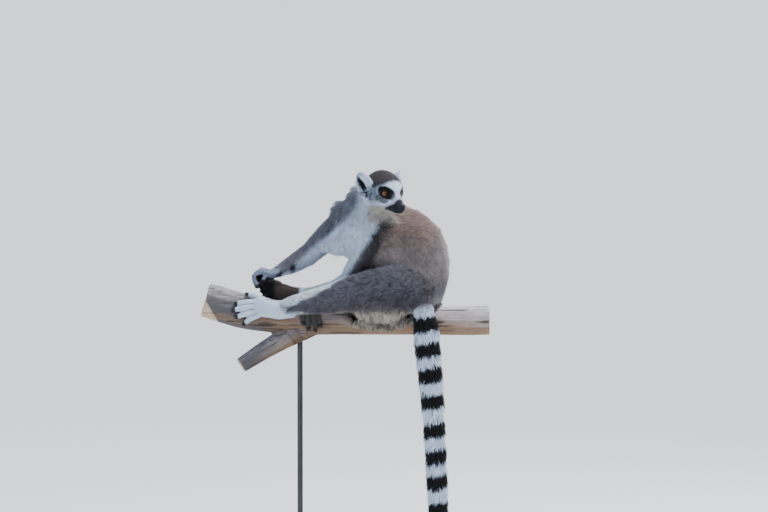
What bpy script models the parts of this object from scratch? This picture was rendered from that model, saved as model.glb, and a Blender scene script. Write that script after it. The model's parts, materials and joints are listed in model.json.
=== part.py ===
"""A ring-tailed lemur, life size, seated on a cut length of branch that a plain display stand holds up.

Run it with: blender --background --python part.py
Metres, +Z up. The animal faces -X along the branch with its left side towards -Y, its chest turned
towards -Y and its head looking back over the left shoulder. The origin is the centre of the
underside of the stand's base. Every solid of the animal reaches out to the tips of its coat.
"""

import math

import bmesh
import bpy
from mathutils import Matrix, Vector

MM = 0.001
SEAT_HEIGHT = 650.0  # from the floor to the top of the branch under the rump
CUT_GAP = 0.35  # between neighbouring solids
BODY_VOXEL, HEAD_VOXEL, PAW_VOXEL = 5.0, 2.2, 1.5
SPAN_STEPS = 2
CAP_REACH, CAP_ANGLES = 0.42, (math.radians(35), math.radians(65))  # the domed ends of a tube

# Stand
BASE_LENGTH, BASE_DEPTH, BASE_THICKNESS = 400.0, 270.0, 18.0
BASE_CORNER, BASE_EDGE = 26.0, 2.5
ROD_RADIUS, ROD_SPREAD, ROD_TOP, ROD_SIDES = 5.0, 119.0, -40.0, 12
COLLAR_RADIUS, COLLAR_HEIGHT = 12.0, 14.0

# Branch: x, y, z and radius along its axis, from the seat
PERCH_AXIS = [
    (-290, 0, 14, 31.5),
    (-227, 0, -4, 31.5),
    (-173, 0, -14, 30.5),
    (-119, 0, -20, 29.5),
    (-38, 0, -22, 27.5),
    (61, 0, -23, 27.0),
    (151, 0, -23, 26.5),
    (223, 0, -22, 26.5),
]
FORK_AXIS = [
    (-84, 0, -26, 20),
    (-128, -3, -45, 20.5),
    (-176, -5, -72, 17.5),
    (-226, -5, -104, 14.5),
]
BARK_FLUTES = [(0.035, 2, 45.0), (0.022, 5, -60.0)]  # depth, count and how fast they wander, in mm

# Head: its frame has x to the nose, y to the animal's left and z up
HEAD_CENTRE = (33, -14, 211)
HEAD_YAW, HEAD_PITCH, HEAD_ROLL = -54.0, 13.0, 0.0
SKULL = [  # x, half width, top and bottom of each section
    (-40, 9, 2, -14),
    (-36, 19, 15, -22),
    (-27, 27.5, 27.5, -30),
    (-12, 32, 36.5, -34),
    (3, 32, 36.5, -34),
    (14, 29, 31, -32),
    (22, 24, 21.5, -31),
    (29, 17.5, 12, -30.5),
    (37, 13.5, 4, -30),
    (45, 11.5, -2, -29.5),
    (52, 10.5, -5.5, -28),
    (59, 7.5, -9, -24),
    (62, 4, -13, -20),
]
EYE_CENTRE, EYE_RADIUS, EYE_TURN, EYE_LIFT = (20.5, 16.5, 3.0), 8.0, 30.0, 4.0
SOCKET_RADIUS = 7.0
NOSE_CENTRE, NOSE_SIZE = (58.0, 0, -12.0), (5.2, 6.2, 5.0)
EAR_CENTRE, EAR_SIZE, EAR_WALL = (-13.0, 34.5, 9.0), (22.5, 17.5, 7.5), 3.2
EAR_UP, EAR_OPENING = (-0.12, 0.32, 0.94), (0.38, 0.90, -0.20)
EYE_RIM, EYE_RIM_RADIUS = -3.5, 10.5  # how far the rim's centre lies beyond the eye's, and its size
SOCKET_AHEAD = 10.0
FACE_LUMPS = {  # centre and half axes, on each side
    "cheek": ((-9, 22, -14), (22, 16, 20)),
    "brow": ((15, 12, 11), (10, 10, 8)),
    "lip": ((38, 6.5, -17), (14, 6.5, 6.5)),
}

# Trunk: sections as a limb has, and lumps by centre and half axes, from the seat
SKULL_BASE = (-14, 0, -12)  # in the head's frame
NECK = [(-14, 0, 150, 38, 38), (-5, 3, 188, 35, 33)]
NECK_TOP = (28, 30)
RUFF_CENTRE, RUFF_SIZE = (-9, 20, 200), (25, 22, 25)
RIBS = [(62, 6, 140, 45, 46), (24, 4, 146, 44, 47), (-16, -2, 142, 40, 42)]
CHEST_LUMPS = [
    ("breast", (-20, -10, 128), (38, 32, 42)),
    ("armpit", (-52, 14, 122), (32, 24, 30)),
    ("shoulder", (-35, 16, 166), (33, 28, 34)),
    ("shoulder", (18, -26, 138), (30, 24, 34)),
    ("belly", (26, 2, 104), (46, 40, 38)),
    ("groin", (16, 6, 84), (31, 26, 23)),
]
LOIN = [
    (98, 0, 24, 45, 43),
    (103, 0, 52, 48, 47),
    (104, 2, 84, 50, 49),
    (92, 4, 118, 49, 50),
    (62, 6, 141, 46, 47),
]
RUMP_LUMPS = [("belly", (58, 2, 88), (48, 42, 46)), ("seat", (93, 0, 22), (44, 44, 34))]

# Limbs: x, y, z, half width across and half thickness, from the seat, from the body outwards
UPPER_ARM = {
    "right": [(-30, 14, 162, 28, 27), (-66, 36, 130, 26, 26), (-103, 56, 93, 21, 21)],
    "left": [(12, -28, 134, 26, 25), (-10, -16, 94, 22, 21), (-31, 6, 52, 18, 18)],
}
FOREARM = {
    "right": [(-101, 56, 95, 21, 21), (-133, 38, 76, 18, 18), (-156, 20, 66, 13, 12)],
    "left": [(-29, 6, 53, 17, 17), (-62, 10, 34, 14, 13), (-95, 15, 17, 11, 8)],
}
THIGH = {
    "left": [
        (102, -26, 40, 30, 44),
        (66, -40, 39, 32, 45),
        (20, -50, 37, 30, 41),
        (-26, -54, 30, 25, 35),
    ],
    "right": [
        (102, 28, 38, 30, 42),
        (60, 46, 34, 31, 40),
        (15, 60, 32, 28, 34),
        (-22, 66, 30, 24, 28),
    ],
}
SHIN = {
    "left": [
        (-22, -54, 31, 26, 35),
        (-60, -57, 21, 21, 29),
        (-100, -56, 14, 17, 24),
        (-142, -44, 6, 12, 17),
    ],
    "right": [
        (-19, 66, 30, 23, 27),
        (-60, 52, 26, 19, 22),
        (-92, 36, 22, 15, 17),
        (-120, 22, 21, 11, 14),
    ],
}
FRINGE_CENTRE, FRINGE_SIZE = (26, -37, -6), (62, 12, 27)
LIMBS = [("thigh", THIGH, 260), ("shin", SHIN, 190), ("upper_arm", UPPER_ARM, 150), ("forearm", FOREARM, 150)]
# Paws: the palm or sole as a limb is, then each digit from knuckle to tip with its radii
PALM = {
    "hand_right": [
        (-155, 20, 66, 12, 11),
        (-164, 15, 62, 13, 9),
        (-174, 11, 61, 14, 8),
        (-184, 9, 65, 14, 7),
    ],
    "hand_left": [(-95, 15, 17, 11, 8), (-99, 2, 16, 14, 7), (-101, -17, 9, 14, 6)],
    "foot_left": [
        (-134, -43, 3, 12, 18),
        (-155, -42, -1, 11, 17),
        (-173, -40, 1, 10, 16),
        (-190, -37, 4, 8, 18),
        (-199, -36, 3, 7, 15),
    ],
    "foot_right": [
        (-116, 20, 22, 9, 14),
        (-132, 15, 23, 9, 15),
        (-150, 12, 26, 8, 18),
        (-168, 8, 30, 7, 18),
    ],
}
PALM_PAD, PALM_PAD_SIZE = (-190, 15, 55), (9, 7, 10)  # of the right hand, behind its curled fingers
DIGIT_RADII = {"hand": (5.0, 4.2, 4.4), "foot": (5.8, 5.0, 4.6)}
DIGITS = {
    "hand_right": [
        [(-174, 8, 60), (-182, -1, 55), (-187, -3, 47)],
        [(-185, 1, 66), (-201, -2, 58), (-194, -2, 38)],
        [(-187, 8, 68), (-203, 6, 57), (-196, 6, 38)],
        [(-186, 15, 67), (-202, 15, 56), (-196, 15, 38)],
        [(-183, 21, 65), (-197, 23, 55), (-192, 22, 40)],
    ],
    "hand_left": [
        [(-90, 4, 13), (-80, -8, 13), (-75, -20, 3)],
        [(-110, -18, 8), (-114, -33, -5), (-113, -34, -26)],
        [(-104, -20, 7), (-105, -34, -8), (-103, -33, -36)],
        [(-97, -20, 7), (-95, -34, -8), (-90, -32, -39)],
        [(-91, -17, 8), (-86, -32, -6), (-81, -32, -30)],
    ],
    "foot_left": [
        [(-184, -30, 17), (-198, -24, 23), (-214, -17, 26)],
        [(-198, -34, 13), (-214, -35, 13), (-234, -31, 10)],
        [(-202, -37, 5), (-218, -38, 3), (-238, -34, -2)],
        [(-200, -37, -4), (-215, -39, -8), (-233, -34, -14)],
        [(-194, -36, -11), (-207, -37, -17), (-219, -32, -27)],
    ],
    "foot_right": [
        [(-156, 9, 43), (-167, 4, 47), (-176, 0, 46)],
        [(-168, 8, 44), (-179, 6, 46), (-187, 3, 45)],
        [(-170, 8, 38), (-181, 6, 39), (-189, 2, 38)],
        [(-170, 8, 31), (-181, 6, 31), (-188, 2, 30)],
        [(-167, 8, 22), (-177, 6, 21), (-184, 2, 20)],
    ],
}
# Tail: x, y, z and radius along its axis
TAIL_AXIS = [
    (100, -4, 22, 22),
    (103, -30, 4, 24),
    (107, -50, -22, 25),
    (110, -56, -66, 25.5),
    (116, -56, -125, 24.5),
    (122, -56, -200, 22.5),
    (127, -55, -300, 21.5),
    (131, -54, -400, 20),
    (133, -53, -500, 17),
    (134, -52, -568, 12),
    (134, -52, -602, 5),
]
TAIL_CUTS = (100, -66, -172, -278, -384, -490, -700)  # heights that part it

COLOURS = {
    "back": (0.23, 0.175, 0.155),
    "limb": (0.14, 0.13, 0.145),
    "pale": (0.62, 0.64, 0.68),
    "crown": (0.085, 0.07, 0.072),
    "black": (0.012, 0.011, 0.013),
    "amber": (0.55, 0.2, 0.03),
    "wood": (0.36, 0.3, 0.27),
    "steel": (0.16, 0.16, 0.165),
}
ROUGHNESS = {"black": 0.45, "amber": 0.12, "steel": 0.4}
METALLIC = {"steel": 0.9}


def seat(point):
    """A point given in millimetres from the seat, in metres from the floor."""
    return Vector((point[0], point[1], point[2] + SEAT_HEIGHT)) * MM


def clear_scene():
    for old in list(bpy.data.objects):
        bpy.data.objects.remove(old)


def collection(name):
    made = bpy.data.collections.new(name)
    bpy.context.scene.collection.children.link(made)
    return made


def material(name):
    found = bpy.data.materials.get(name)
    if found:
        return found
    made = bpy.data.materials.new(name)
    made.use_nodes = True
    shader = made.node_tree.nodes["Principled BSDF"]
    shader.inputs["Base Color"].default_value = (*COLOURS[name], 1)
    shader.inputs["Roughness"].default_value = ROUGHNESS.get(name, 0.85)
    shader.inputs["Metallic"].default_value = METALLIC.get(name, 0.0)
    return made


def new_object(name, bm, where):
    """An object made from a bmesh, whose normals are turned outwards and which is then freed."""
    bmesh.ops.recalc_face_normals(bm, faces=bm.faces)
    mesh = bpy.data.meshes.new(name)
    bm.to_mesh(mesh)
    bm.free()
    made = bpy.data.objects.new(name, mesh)
    where.objects.link(made)
    return made


def applied(obj):
    """The object with its modifiers applied to its mesh."""
    graph = bpy.context.evaluated_depsgraph_get()
    graph.update()
    mesh = bpy.data.meshes.new_from_object(obj.evaluated_get(graph))
    obj.modifiers.clear()
    old, obj.data = obj.data, mesh
    bpy.data.meshes.remove(old)
    return obj


# ---------------------------------------------------------------- shapes


def smooth_rows(rows, steps):
    """Rows of numbers on a Catmull-Rom curve through the given rows, with steps to each span."""
    ends = [
        [2 * a - b for a, b in zip(rows[0], rows[1])],
        [2 * a - b for a, b in zip(rows[-1], rows[-2])],
    ]
    padded = [ends[0], *rows, ends[1]]
    made = []
    for p0, p1, p2, p3 in zip(padded, padded[1:], padded[2:], padded[3:]):
        for step in range(steps):
            t = step / steps
            weights = (
                (-t + 2 * t**2 - t**3) / 2,
                (2 - 5 * t**2 + 3 * t**3) / 2,
                (t + 4 * t**2 - 3 * t**3) / 2,
                (t**3 - t**2) / 2,
            )
            made.append([sum(w * v for w, v in zip(weights, column)) for column in zip(p0, p1, p2, p3)])
    return [*made, list(rows[-1])]


def frames(centres, across):
    """The tangent, side and up directions at each centre of a path."""
    made = []
    for i, centre in enumerate(centres):
        ahead, behind = centres[min(i + 1, len(centres) - 1)], centres[max(i - 1, 0)]
        tangent = (ahead - behind).normalized()
        side = (across - tangent * tangent.dot(across)).normalized()
        made.append((centre, tangent, side, tangent.cross(side)))
    return made


def ring(centre, side, up, half_side, half_up, sides, ripple=None):
    """Points round an ellipse. The ripple gives a factor on the radius for an angle."""
    points = []
    for n in range(sides):
        angle = 2 * math.pi * n / sides
        offset = side * half_side * math.cos(angle) + up * half_up * math.sin(angle)
        points.append(centre + offset * (ripple(angle) if ripple else 1.0))
    return points


def loft(name, stations, where, sides=14, across=(0, 1, 0), rounded=True, ripple=None, place=seat):
    """A tube through elliptical sections: x, y, z, half width along across and half thickness, in mm."""
    rows = smooth_rows([s if len(s) == 5 else (*s, s[3]) for s in stations], SPAN_STEPS)
    path = frames([Vector(row[:3]) for row in rows], Vector(across))
    rings = []
    for place_on_path, row in zip(path, rows):
        centre, tangent, side, up = place_on_path
        shape = (lambda angle, x=centre.length: ripple(angle, x)) if ripple else None
        rings.append(ring(centre, side, up, row[3], row[4], sides, shape))
    poles = [path[0][0], path[-1][0]]
    if rounded:
        for end, sign in ((0, -1), (-1, 1)):
            centre, tangent, side, up = path[end]
            half_side, half_up = rows[end][3:5]
            reach = sign * tangent * (half_side + half_up) * CAP_REACH
            caps = []
            for angle in CAP_ANGLES:
                sine, cosine = math.sin(angle), math.cos(angle)
                caps.append(ring(centre + reach * sine, side, up, half_side * cosine, half_up * cosine, sides))
            rings = [*reversed(caps), *rings] if sign < 0 else [*rings, *caps]
            poles[end] = centre + reach
    bm = bmesh.new()
    loops = [[bm.verts.new(place(p)) for p in points] for points in rings]
    for low, high in zip(loops, loops[1:]):
        for n in range(sides):
            m = (n + 1) % sides
            bm.faces.new((low[n], low[m], high[m], high[n]))
    for pole, loop in zip(poles, (loops[0], loops[-1])):
        tip = bm.verts.new(place(pole))
        for n in range(sides):
            bm.faces.new((tip, loop[n], loop[(n + 1) % sides]))
    return new_object(name, bm, where)


def ellipsoid(name, centre, size, where, place=seat, subdivisions=3, turn=None):
    """An ellipsoid with half axes size in mm, turned by a 3x3 matrix, then placed."""
    bm = bmesh.new()
    bmesh.ops.create_icosphere(bm, subdivisions=subdivisions, radius=1.0)
    turn = turn or Matrix.Identity(3)
    for v in bm.verts:
        v.co = place(Vector(centre) + turn @ Vector(c * s for c, s in zip(v.co, size)))
    return new_object(name, bm, where)


def fuse(name, lumps, voxel, smoothing, triangles, finish, where):
    """One closed solid from overlapping lumps: remeshed, smoothed where they meet, then simplified."""
    bm = bmesh.new()
    for lump in lumps:
        bm.from_mesh(lump.data)
        bpy.data.objects.remove(lump)
    made = new_object(name, bm, where)
    remesh = made.modifiers.new("remesh", "REMESH")
    remesh.mode, remesh.voxel_size = "VOXEL", voxel * MM
    smooth = made.modifiers.new("smooth", "SMOOTH")
    smooth.factor, smooth.iterations = 0.5, smoothing
    applied(made)
    count = sum(len(p.vertices) - 2 for p in made.data.polygons)
    simplify = made.modifiers.new("simplify", "DECIMATE")
    simplify.ratio, simplify.use_collapse_triangulate = min(1.0, triangles / count), True
    applied(made)
    made.data.materials.clear()
    made.data.materials.append(material(finish))
    return made


def keep_largest(obj):
    """Removes every loose piece of the mesh but the one with the most faces."""
    bm = bmesh.new()
    bm.from_mesh(obj.data)
    left, pieces = set(bm.verts), []
    while left:
        start = left.pop()
        piece, edge = {start}, [start]
        while edge:
            near = {e.other_vert(v) for v in edge for e in v.link_edges} - piece
            piece |= near
            edge = list(near)
        left -= piece
        pieces.append(piece)
    largest = max(pieces, key=len)
    bmesh.ops.delete(bm, geom=[v for v in bm.verts if v not in largest], context="VERTS")
    bm.to_mesh(obj.data)
    bm.free()


def boolean(obj, other, operation, grow=0.0):
    """Cuts or joins obj with other, which is first grown outwards by grow mm for a cut."""
    helper = other.copy()
    helper.data = other.data.copy()
    obj.users_collection[0].objects.link(helper)
    if grow:
        swell = helper.modifiers.new("swell", "DISPLACE")
        swell.strength, swell.mid_level = grow * MM, 0.0
        applied(helper)
    step = obj.modifiers.new("step", "BOOLEAN")
    step.operation, step.object = operation, helper
    step.solver = "MANIFOLD" if grow else "EXACT"  # EXACT leaves holes where a grown helper folds over itself
    applied(obj)
    bpy.data.objects.remove(helper)


def triangulate(obj):
    """Splits every face into triangles, so that a copy used as a cutter bends exactly as the piece does."""
    bm = bmesh.new()
    bm.from_mesh(obj.data)
    bmesh.ops.triangulate(bm, faces=bm.faces)
    bm.to_mesh(obj.data)
    bm.free()


def near(a, b):
    """Whether the boxes of two objects come within 1 mm of each other."""
    corners = [[Vector(c) for c in o.bound_box] for o in (a, b)]
    low = [Vector(min(c[i] for c in box) for i in range(3)) for box in corners]
    high = [Vector(max(c[i] for c in box) for i in range(3)) for box in corners]
    return all(low[0][i] < high[1][i] + MM and low[1][i] < high[0][i] + MM for i in range(3))


def fit_together(pieces):
    """Cuts each piece back from all that come before it in the list."""
    for i, piece in enumerate(pieces):
        for earlier in pieces[:i]:
            if near(piece, earlier):
                boolean(piece, earlier, "DIFFERENCE", CUT_GAP)
                keep_largest(piece)
        triangulate(piece)


# ---------------------------------------------------------------- stand and branch


def bark(angle, distance):
    """The radius of the branch as a factor: shallow flutes that wander along it."""
    return 1 + sum(depth * math.sin(count * angle + distance / pace) for depth, count, pace in BARK_FLUTES)


def make_perch(where):
    perch = loft("perch", PERCH_AXIS, where, sides=14, rounded=False, ripple=bark)
    fork = loft("fork", FORK_AXIS, where, sides=10, rounded=False, ripple=bark)
    boolean(perch, fork, "UNION")
    bpy.data.objects.remove(fork)
    perch.data.materials.clear()
    perch.data.materials.append(material("wood"))
    return perch


def make_base(where):
    """The slab that everything stands on, with rounded corners and a softened rim."""
    bm = bmesh.new()
    size = Matrix.Diagonal((BASE_LENGTH, BASE_DEPTH, BASE_THICKNESS, 1))
    bmesh.ops.create_cube(bm, size=MM, matrix=Matrix.Translation((0, 0, BASE_THICKNESS / 2 * MM)) @ size)
    upright = [e for e in bm.edges if e.verts[0].co.xy == e.verts[1].co.xy]
    bmesh.ops.bevel(bm, geom=upright, offset=BASE_CORNER * MM, segments=4, profile=0.5, affect="EDGES")
    base = new_object("stand_base", bm, where)
    rim = base.modifiers.new("rim", "BEVEL")
    rim.width, rim.segments, rim.angle_limit = BASE_EDGE * MM, 1, math.radians(60)
    base.data.materials.append(material("steel"))
    return applied(base)


def make_rod(name, x, where):
    """A turned rod with a collar at its foot, from just above the base up into the branch."""
    low, high = BASE_THICKNESS + CUT_GAP, SEAT_HEIGHT + ROD_TOP
    profile = [
        (0, high),
        (ROD_RADIUS, high),
        (ROD_RADIUS, low + COLLAR_HEIGHT),
        (COLLAR_RADIUS, low + COLLAR_HEIGHT - 3),
        (COLLAR_RADIUS, low),
        (0, low),
    ]
    bm = bmesh.new()
    verts = [bm.verts.new(Vector((radius, 0, z)) * MM) for radius, z in profile]
    for above, below in zip(verts, verts[1:]):
        bm.edges.new((above, below))
    rod = new_object(name, bm, where)
    turned = rod.modifiers.new("turned", "SCREW")
    turned.steps = turned.render_steps = ROD_SIDES
    turned.use_merge_vertices, turned.merge_threshold = True, 0.0001
    applied(rod)
    rod.data.transform(Matrix.Translation((x * MM, 0, 0)))
    rod.data.materials.append(material("steel"))
    return rod


# ---------------------------------------------------------------- head

HEAD = (
    Matrix.Translation(HEAD_CENTRE)
    @ Matrix.Rotation(math.radians(HEAD_YAW), 4, "Z")
    @ Matrix.Rotation(math.radians(HEAD_PITCH), 4, "Y")
    @ Matrix.Rotation(math.radians(HEAD_ROLL), 4, "X")
)


def on_head(point):
    """A point of the head's own frame, in millimetres, placed in the world."""
    return seat(HEAD @ Vector(point))


def eye_axis(side):
    turn, lift = math.radians(EYE_TURN), math.radians(EYE_LIFT)
    return Vector((math.cos(turn) * math.cos(lift), side * math.sin(turn) * math.cos(lift), math.sin(lift)))


def mirrored(point, side):
    """A point or direction given for the left (side 1), on that side or the right (-1)."""
    return Vector((point[0], side * point[1], point[2]))


def make_eye(name, side, where):
    made = ellipsoid(name, mirrored(EYE_CENTRE, side), (EYE_RADIUS,) * 3, where, on_head, subdivisions=2)
    made.data.materials.append(material("amber"))
    return made


def make_nose(where):
    made = ellipsoid("nose", NOSE_CENTRE, NOSE_SIZE, where, on_head, subdivisions=2)
    made.data.materials.append(material("black"))
    return made


def make_ear(name, side, where):
    """A cupped ear: an ellipsoid with a hollow scooped from its open face."""
    up = mirrored(EAR_UP, side).normalized()
    opening = mirrored(EAR_OPENING, side)
    opening = (opening - up * up.dot(opening)).normalized()
    turn = Matrix((up, opening.cross(up), opening)).transposed()
    centre = mirrored(EAR_CENTRE, side)
    inner = [s - EAR_WALL for s in EAR_SIZE]
    ear = ellipsoid(name, centre, EAR_SIZE, where, on_head, 2, turn)
    scoop = ellipsoid("scoop", centre + opening * EAR_WALL * 1.5, inner, where, on_head, 2, turn)
    boolean(ear, scoop, "DIFFERENCE")
    bpy.data.objects.remove(scoop)
    ear.data.materials.clear()
    ear.data.materials.append(material("pale"))
    return ear


def make_head(where):
    """Skull, cheeks, brows and the rims of the eye sockets."""
    sections = [(x, 0, (top + bottom) / 2, width, (top - bottom) / 2) for x, width, top, bottom in SKULL]
    lumps = [loft("skull", sections, where, sides=24, rounded=False, place=on_head)]
    for side in (1, -1):
        rim = mirrored(EYE_CENTRE, side) + eye_axis(side) * EYE_RIM
        lumps.append(ellipsoid("rim", rim, (EYE_RIM_RADIUS,) * 3, where, on_head))
        for name, (centre, size) in FACE_LUMPS.items():
            lumps.append(ellipsoid(name, mirrored(centre, side), size, where, on_head))
    head = fuse("head", lumps, HEAD_VOXEL, 4, 900, "crown", where)
    for side in (1, -1):
        front = mirrored(EYE_CENTRE, side) + eye_axis(side) * SOCKET_AHEAD
        socket = ellipsoid("socket", front, (SOCKET_RADIUS,) * 3, where, on_head, 2)
        boolean(head, socket, "DIFFERENCE")
        bpy.data.objects.remove(socket)
    return head


# ---------------------------------------------------------------- body


def make_neck(where):
    """The neck with the thick fur of the nape, which fills the corner between head and shoulder."""
    stations = [*NECK, (*(HEAD @ Vector(SKULL_BASE)), *NECK_TOP)]
    lumps = [
        loft("neck", stations, where, across=(1, 0, 0), rounded=False),
        ellipsoid("ruff", RUFF_CENTRE, RUFF_SIZE, where),
    ]
    return fuse("neck", lumps, BODY_VOXEL, 2, 190, "pale", where)


def make_trunk_part(name, stations, lumps, triangles, where):
    """One half of the trunk: a tube through its sections, filled out by lumps."""
    shapes = [loft(name, stations, where, sides=18)]
    shapes += [ellipsoid(lump, centre, size, where) for lump, centre, size in lumps]
    return fuse(name, shapes, BODY_VOXEL, 6, triangles, "back", where)


def make_limb(name, stations, triangles, finish, where):
    """One part of a limb. The left thigh also has the long fringe that hangs over the branch."""
    lumps = [loft(name, stations, where)]
    if name == "thigh_left":
        lumps.append(ellipsoid("fringe", FRINGE_CENTRE, FRINGE_SIZE, where))
    return fuse(name, lumps, BODY_VOXEL, 1, triangles, finish, where)


def make_paw(name, where):
    """A palm or sole with its five digits."""
    lumps = [loft("palm", PALM[name], where, sides=12)]
    if name == "hand_right":
        lumps.append(ellipsoid("pad", PALM_PAD, PALM_PAD_SIZE, where, subdivisions=2))
    radii = DIGIT_RADII[name.split("_")[0]]
    for joints in DIGITS[name]:
        stations = [(*joint, radius) for joint, radius in zip(joints, radii)]
        lumps.append(loft("digit", stations, where, sides=10, across=(0.2, 1, 0.3)))
    return fuse(name, lumps, PAW_VOXEL, 2, 300, "pale", where)


def make_tail(where):
    """The tail, modelled whole and then parted by thin level cuts."""
    whole = loft("tail", TAIL_AXIS, where, sides=14)
    pieces = []
    for n, (top, bottom) in enumerate(zip(TAIL_CUTS, TAIL_CUTS[1:])):
        bm = bmesh.new()
        bm.from_mesh(whole.data)
        for height, up in ((top - CUT_GAP, 1), (bottom, -1)):
            everything = [*bm.verts, *bm.edges, *bm.faces]
            level = {"plane_co": seat((0, 0, height)), "plane_no": (0, 0, up)}
            cut = bmesh.ops.bisect_plane(bm, geom=everything, clear_outer=True, **level)
            bmesh.ops.holes_fill(bm, edges=[e for e in cut["geom_cut"] if isinstance(e, bmesh.types.BMEdge)])
        piece = new_object(f"tail_{n + 1}", bm, where)
        piece.data.materials.append(material("black"))
        pieces.append(piece)
    bpy.data.objects.remove(whole)
    return pieces


def build():
    clear_scene()
    where = collection("ring_tailed_lemur")
    perch = make_perch(where)
    rods = [make_rod("stand_rod_left", -ROD_SPREAD, where), make_rod("stand_rod_right", ROD_SPREAD, where)]
    eyes = [make_eye("eye_left", 1, where), make_eye("eye_right", -1, where)]
    head = make_head(where)
    ears = [make_ear("ear_left", 1, where), make_ear("ear_right", -1, where)]
    trunk = [
        make_neck(where),
        make_trunk_part("chest", RIBS, CHEST_LUMPS, 460, where),
        make_trunk_part("rump", LOIN, RUMP_LUMPS, 480, where),
    ]
    limbs = [
        make_limb(f"{name}_{side}", stations[side], triangles, "limb", where)
        for name, stations, triangles in LIMBS
        for side in ("left", "right")
    ]
    paws = [make_paw(name, where) for name in PALM]
    make_base(where)
    face = [*eyes, make_nose(where)]
    fit_together([perch, *rods, *face, *trunk, head, *ears, *limbs, *paws, *make_tail(where)])


build()
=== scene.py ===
"""Dresses a ring-tailed lemur that sits on a cut length of branch, held by a plain display stand.

One skin closes over all the solids of flesh, and a coat of solid tufts follows the lie of the fur on
it. Eyes, nose leather, nails, branch and stand are pieces of their own. Metres, +Z up, and the same
frame as the solids.
"""

import json
import logging
import math
from collections.abc import Callable
from dataclasses import dataclass
from enum import Enum, IntEnum

import bpy
import numpy as np
from bpy.types import Material, NodeSocket, Object
from mathutils import Matrix, Vector
from mathutils.bvhtree import BVHTree
from mathutils.kdtree import KDTree

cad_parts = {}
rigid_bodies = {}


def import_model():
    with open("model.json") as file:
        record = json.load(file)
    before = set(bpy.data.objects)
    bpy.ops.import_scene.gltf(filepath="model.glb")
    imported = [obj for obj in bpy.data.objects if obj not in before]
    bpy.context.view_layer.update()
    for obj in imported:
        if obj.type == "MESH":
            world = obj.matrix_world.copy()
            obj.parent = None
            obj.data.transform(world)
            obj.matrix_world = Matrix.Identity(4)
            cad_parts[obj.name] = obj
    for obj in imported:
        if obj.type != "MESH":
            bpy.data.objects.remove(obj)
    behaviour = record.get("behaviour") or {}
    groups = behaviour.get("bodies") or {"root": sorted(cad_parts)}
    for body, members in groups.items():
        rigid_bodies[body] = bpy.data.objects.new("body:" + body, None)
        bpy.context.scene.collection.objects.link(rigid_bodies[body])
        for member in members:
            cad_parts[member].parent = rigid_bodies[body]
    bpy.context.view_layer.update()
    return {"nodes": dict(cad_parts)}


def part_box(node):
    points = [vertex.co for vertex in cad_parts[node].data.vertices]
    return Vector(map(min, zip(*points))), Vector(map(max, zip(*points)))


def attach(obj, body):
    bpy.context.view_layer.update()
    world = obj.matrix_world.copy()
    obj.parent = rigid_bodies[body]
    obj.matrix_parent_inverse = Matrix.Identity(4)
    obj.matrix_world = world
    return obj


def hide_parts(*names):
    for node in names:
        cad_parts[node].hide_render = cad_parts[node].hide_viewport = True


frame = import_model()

Array = np.ndarray
Triple = tuple[float, float, float]  # a place, a size or a colour
MM = 0.001
SIDES = ("left", "right")
CELL_PRIMES = (73856093, 19349663, 83492791)  # one for each axis, to mix the numbers of a cell
SEED_PRIME = 2654435761
MIX_PRIME = 1274126177
SEED_SHIFT = 17.31  # moves each field's cells, so that their edges don't meet
LOW_32_BITS = 0xFFFFFFFF
LOW_16_BITS = 0xFFFF
log = logging.getLogger("lemur")


class Seed(IntEnum):
    """The random field that each unevenness reads; JAG and LIE also read the two after theirs."""

    JAG = 11
    BROAD_MOTTLE = 21
    FINE_MOTTLE = 22
    LIE = 41
    WOOD_GRAIN = 61
    WOOD_FINE_GRAIN = 62
    WOOD_CRACKS = 63
    WOOD_STREAKS = 71
    WOOD_PATCHES = 72
    NECK_SPECKLE = 81
    FACE_SPECKLE = 82
    TAIL_ROOT = 83
    SHIN_FLECKS = 84
    CURLS = 91
    LOCKS = 92


# ---- small tools


def unit(vectors: Array) -> Array:
    """Scales vectors to length one along their last axis."""
    return vectors / np.maximum(np.linalg.norm(vectors, axis=-1, keepdims=True), 1e-9)


def dot(a: Array, b: Array) -> Array:
    """The dot products of two arrays of vectors, row by row."""
    return (a * b).sum(-1)


def ramp(values: Array, low: float, high: float) -> Array:
    """A smooth step from 0 at low to 1 at high.

    Args:
        values: Where to read the step.
        low: The value that gives 0; it may be the larger of the two.
        high: The value that gives 1.

    Returns:
        The step's height, from 0 to 1.
    """
    t = np.clip((values - low) / (high - low), 0.0, 1.0)
    return t * t * (3 - 2 * t)


def drift(points: Array, size: float, seed: int) -> Array:
    """Smooth random values over space, the same on each run.

    Args:
        points: Where to read them, in metres.
        size: How far apart the random values lie, in metres.
        seed: Picks one of many such fields.

    Returns:
        Values from -1 to 1.
    """
    cell = points / size + seed * SEED_SHIFT
    base = np.floor(cell).astype(np.int64)
    t = cell - base
    t = t * t * (3 - 2 * t)
    total = np.zeros(len(points))
    for corner in range(8):
        step = np.array([corner & 1, corner >> 1 & 1, corner >> 2 & 1])
        first, second, third = ((base + step) * np.array(CELL_PRIMES)).T
        mixed = first ^ second ^ third ^ (seed * SEED_PRIME)
        mixed = (mixed ^ (mixed >> 13)) * MIX_PRIME & LOW_32_BITS
        value = ((mixed ^ (mixed >> 16)) & LOW_16_BITS) / (LOW_16_BITS / 2) - 1.0
        total += value * np.where(step, t, 1 - t).prod(1)
    return total


def blend(under: Array, over: tuple[float, ...] | Array, amount: Array) -> Array:
    """Lays the colour over on the colours under, by an amount from 0 to 1 for each row."""
    amount = amount[:, None]
    return under * (1 - amount) + np.asarray(over) * amount


# ---- modelling tools


def only(obj: Object) -> None:
    """Makes an object the active one and the only one selected.

    Args:
        obj: The object.
    """
    bpy.ops.object.select_all(action="DESELECT")
    obj.select_set(True)
    bpy.context.view_layer.objects.active = obj


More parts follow.
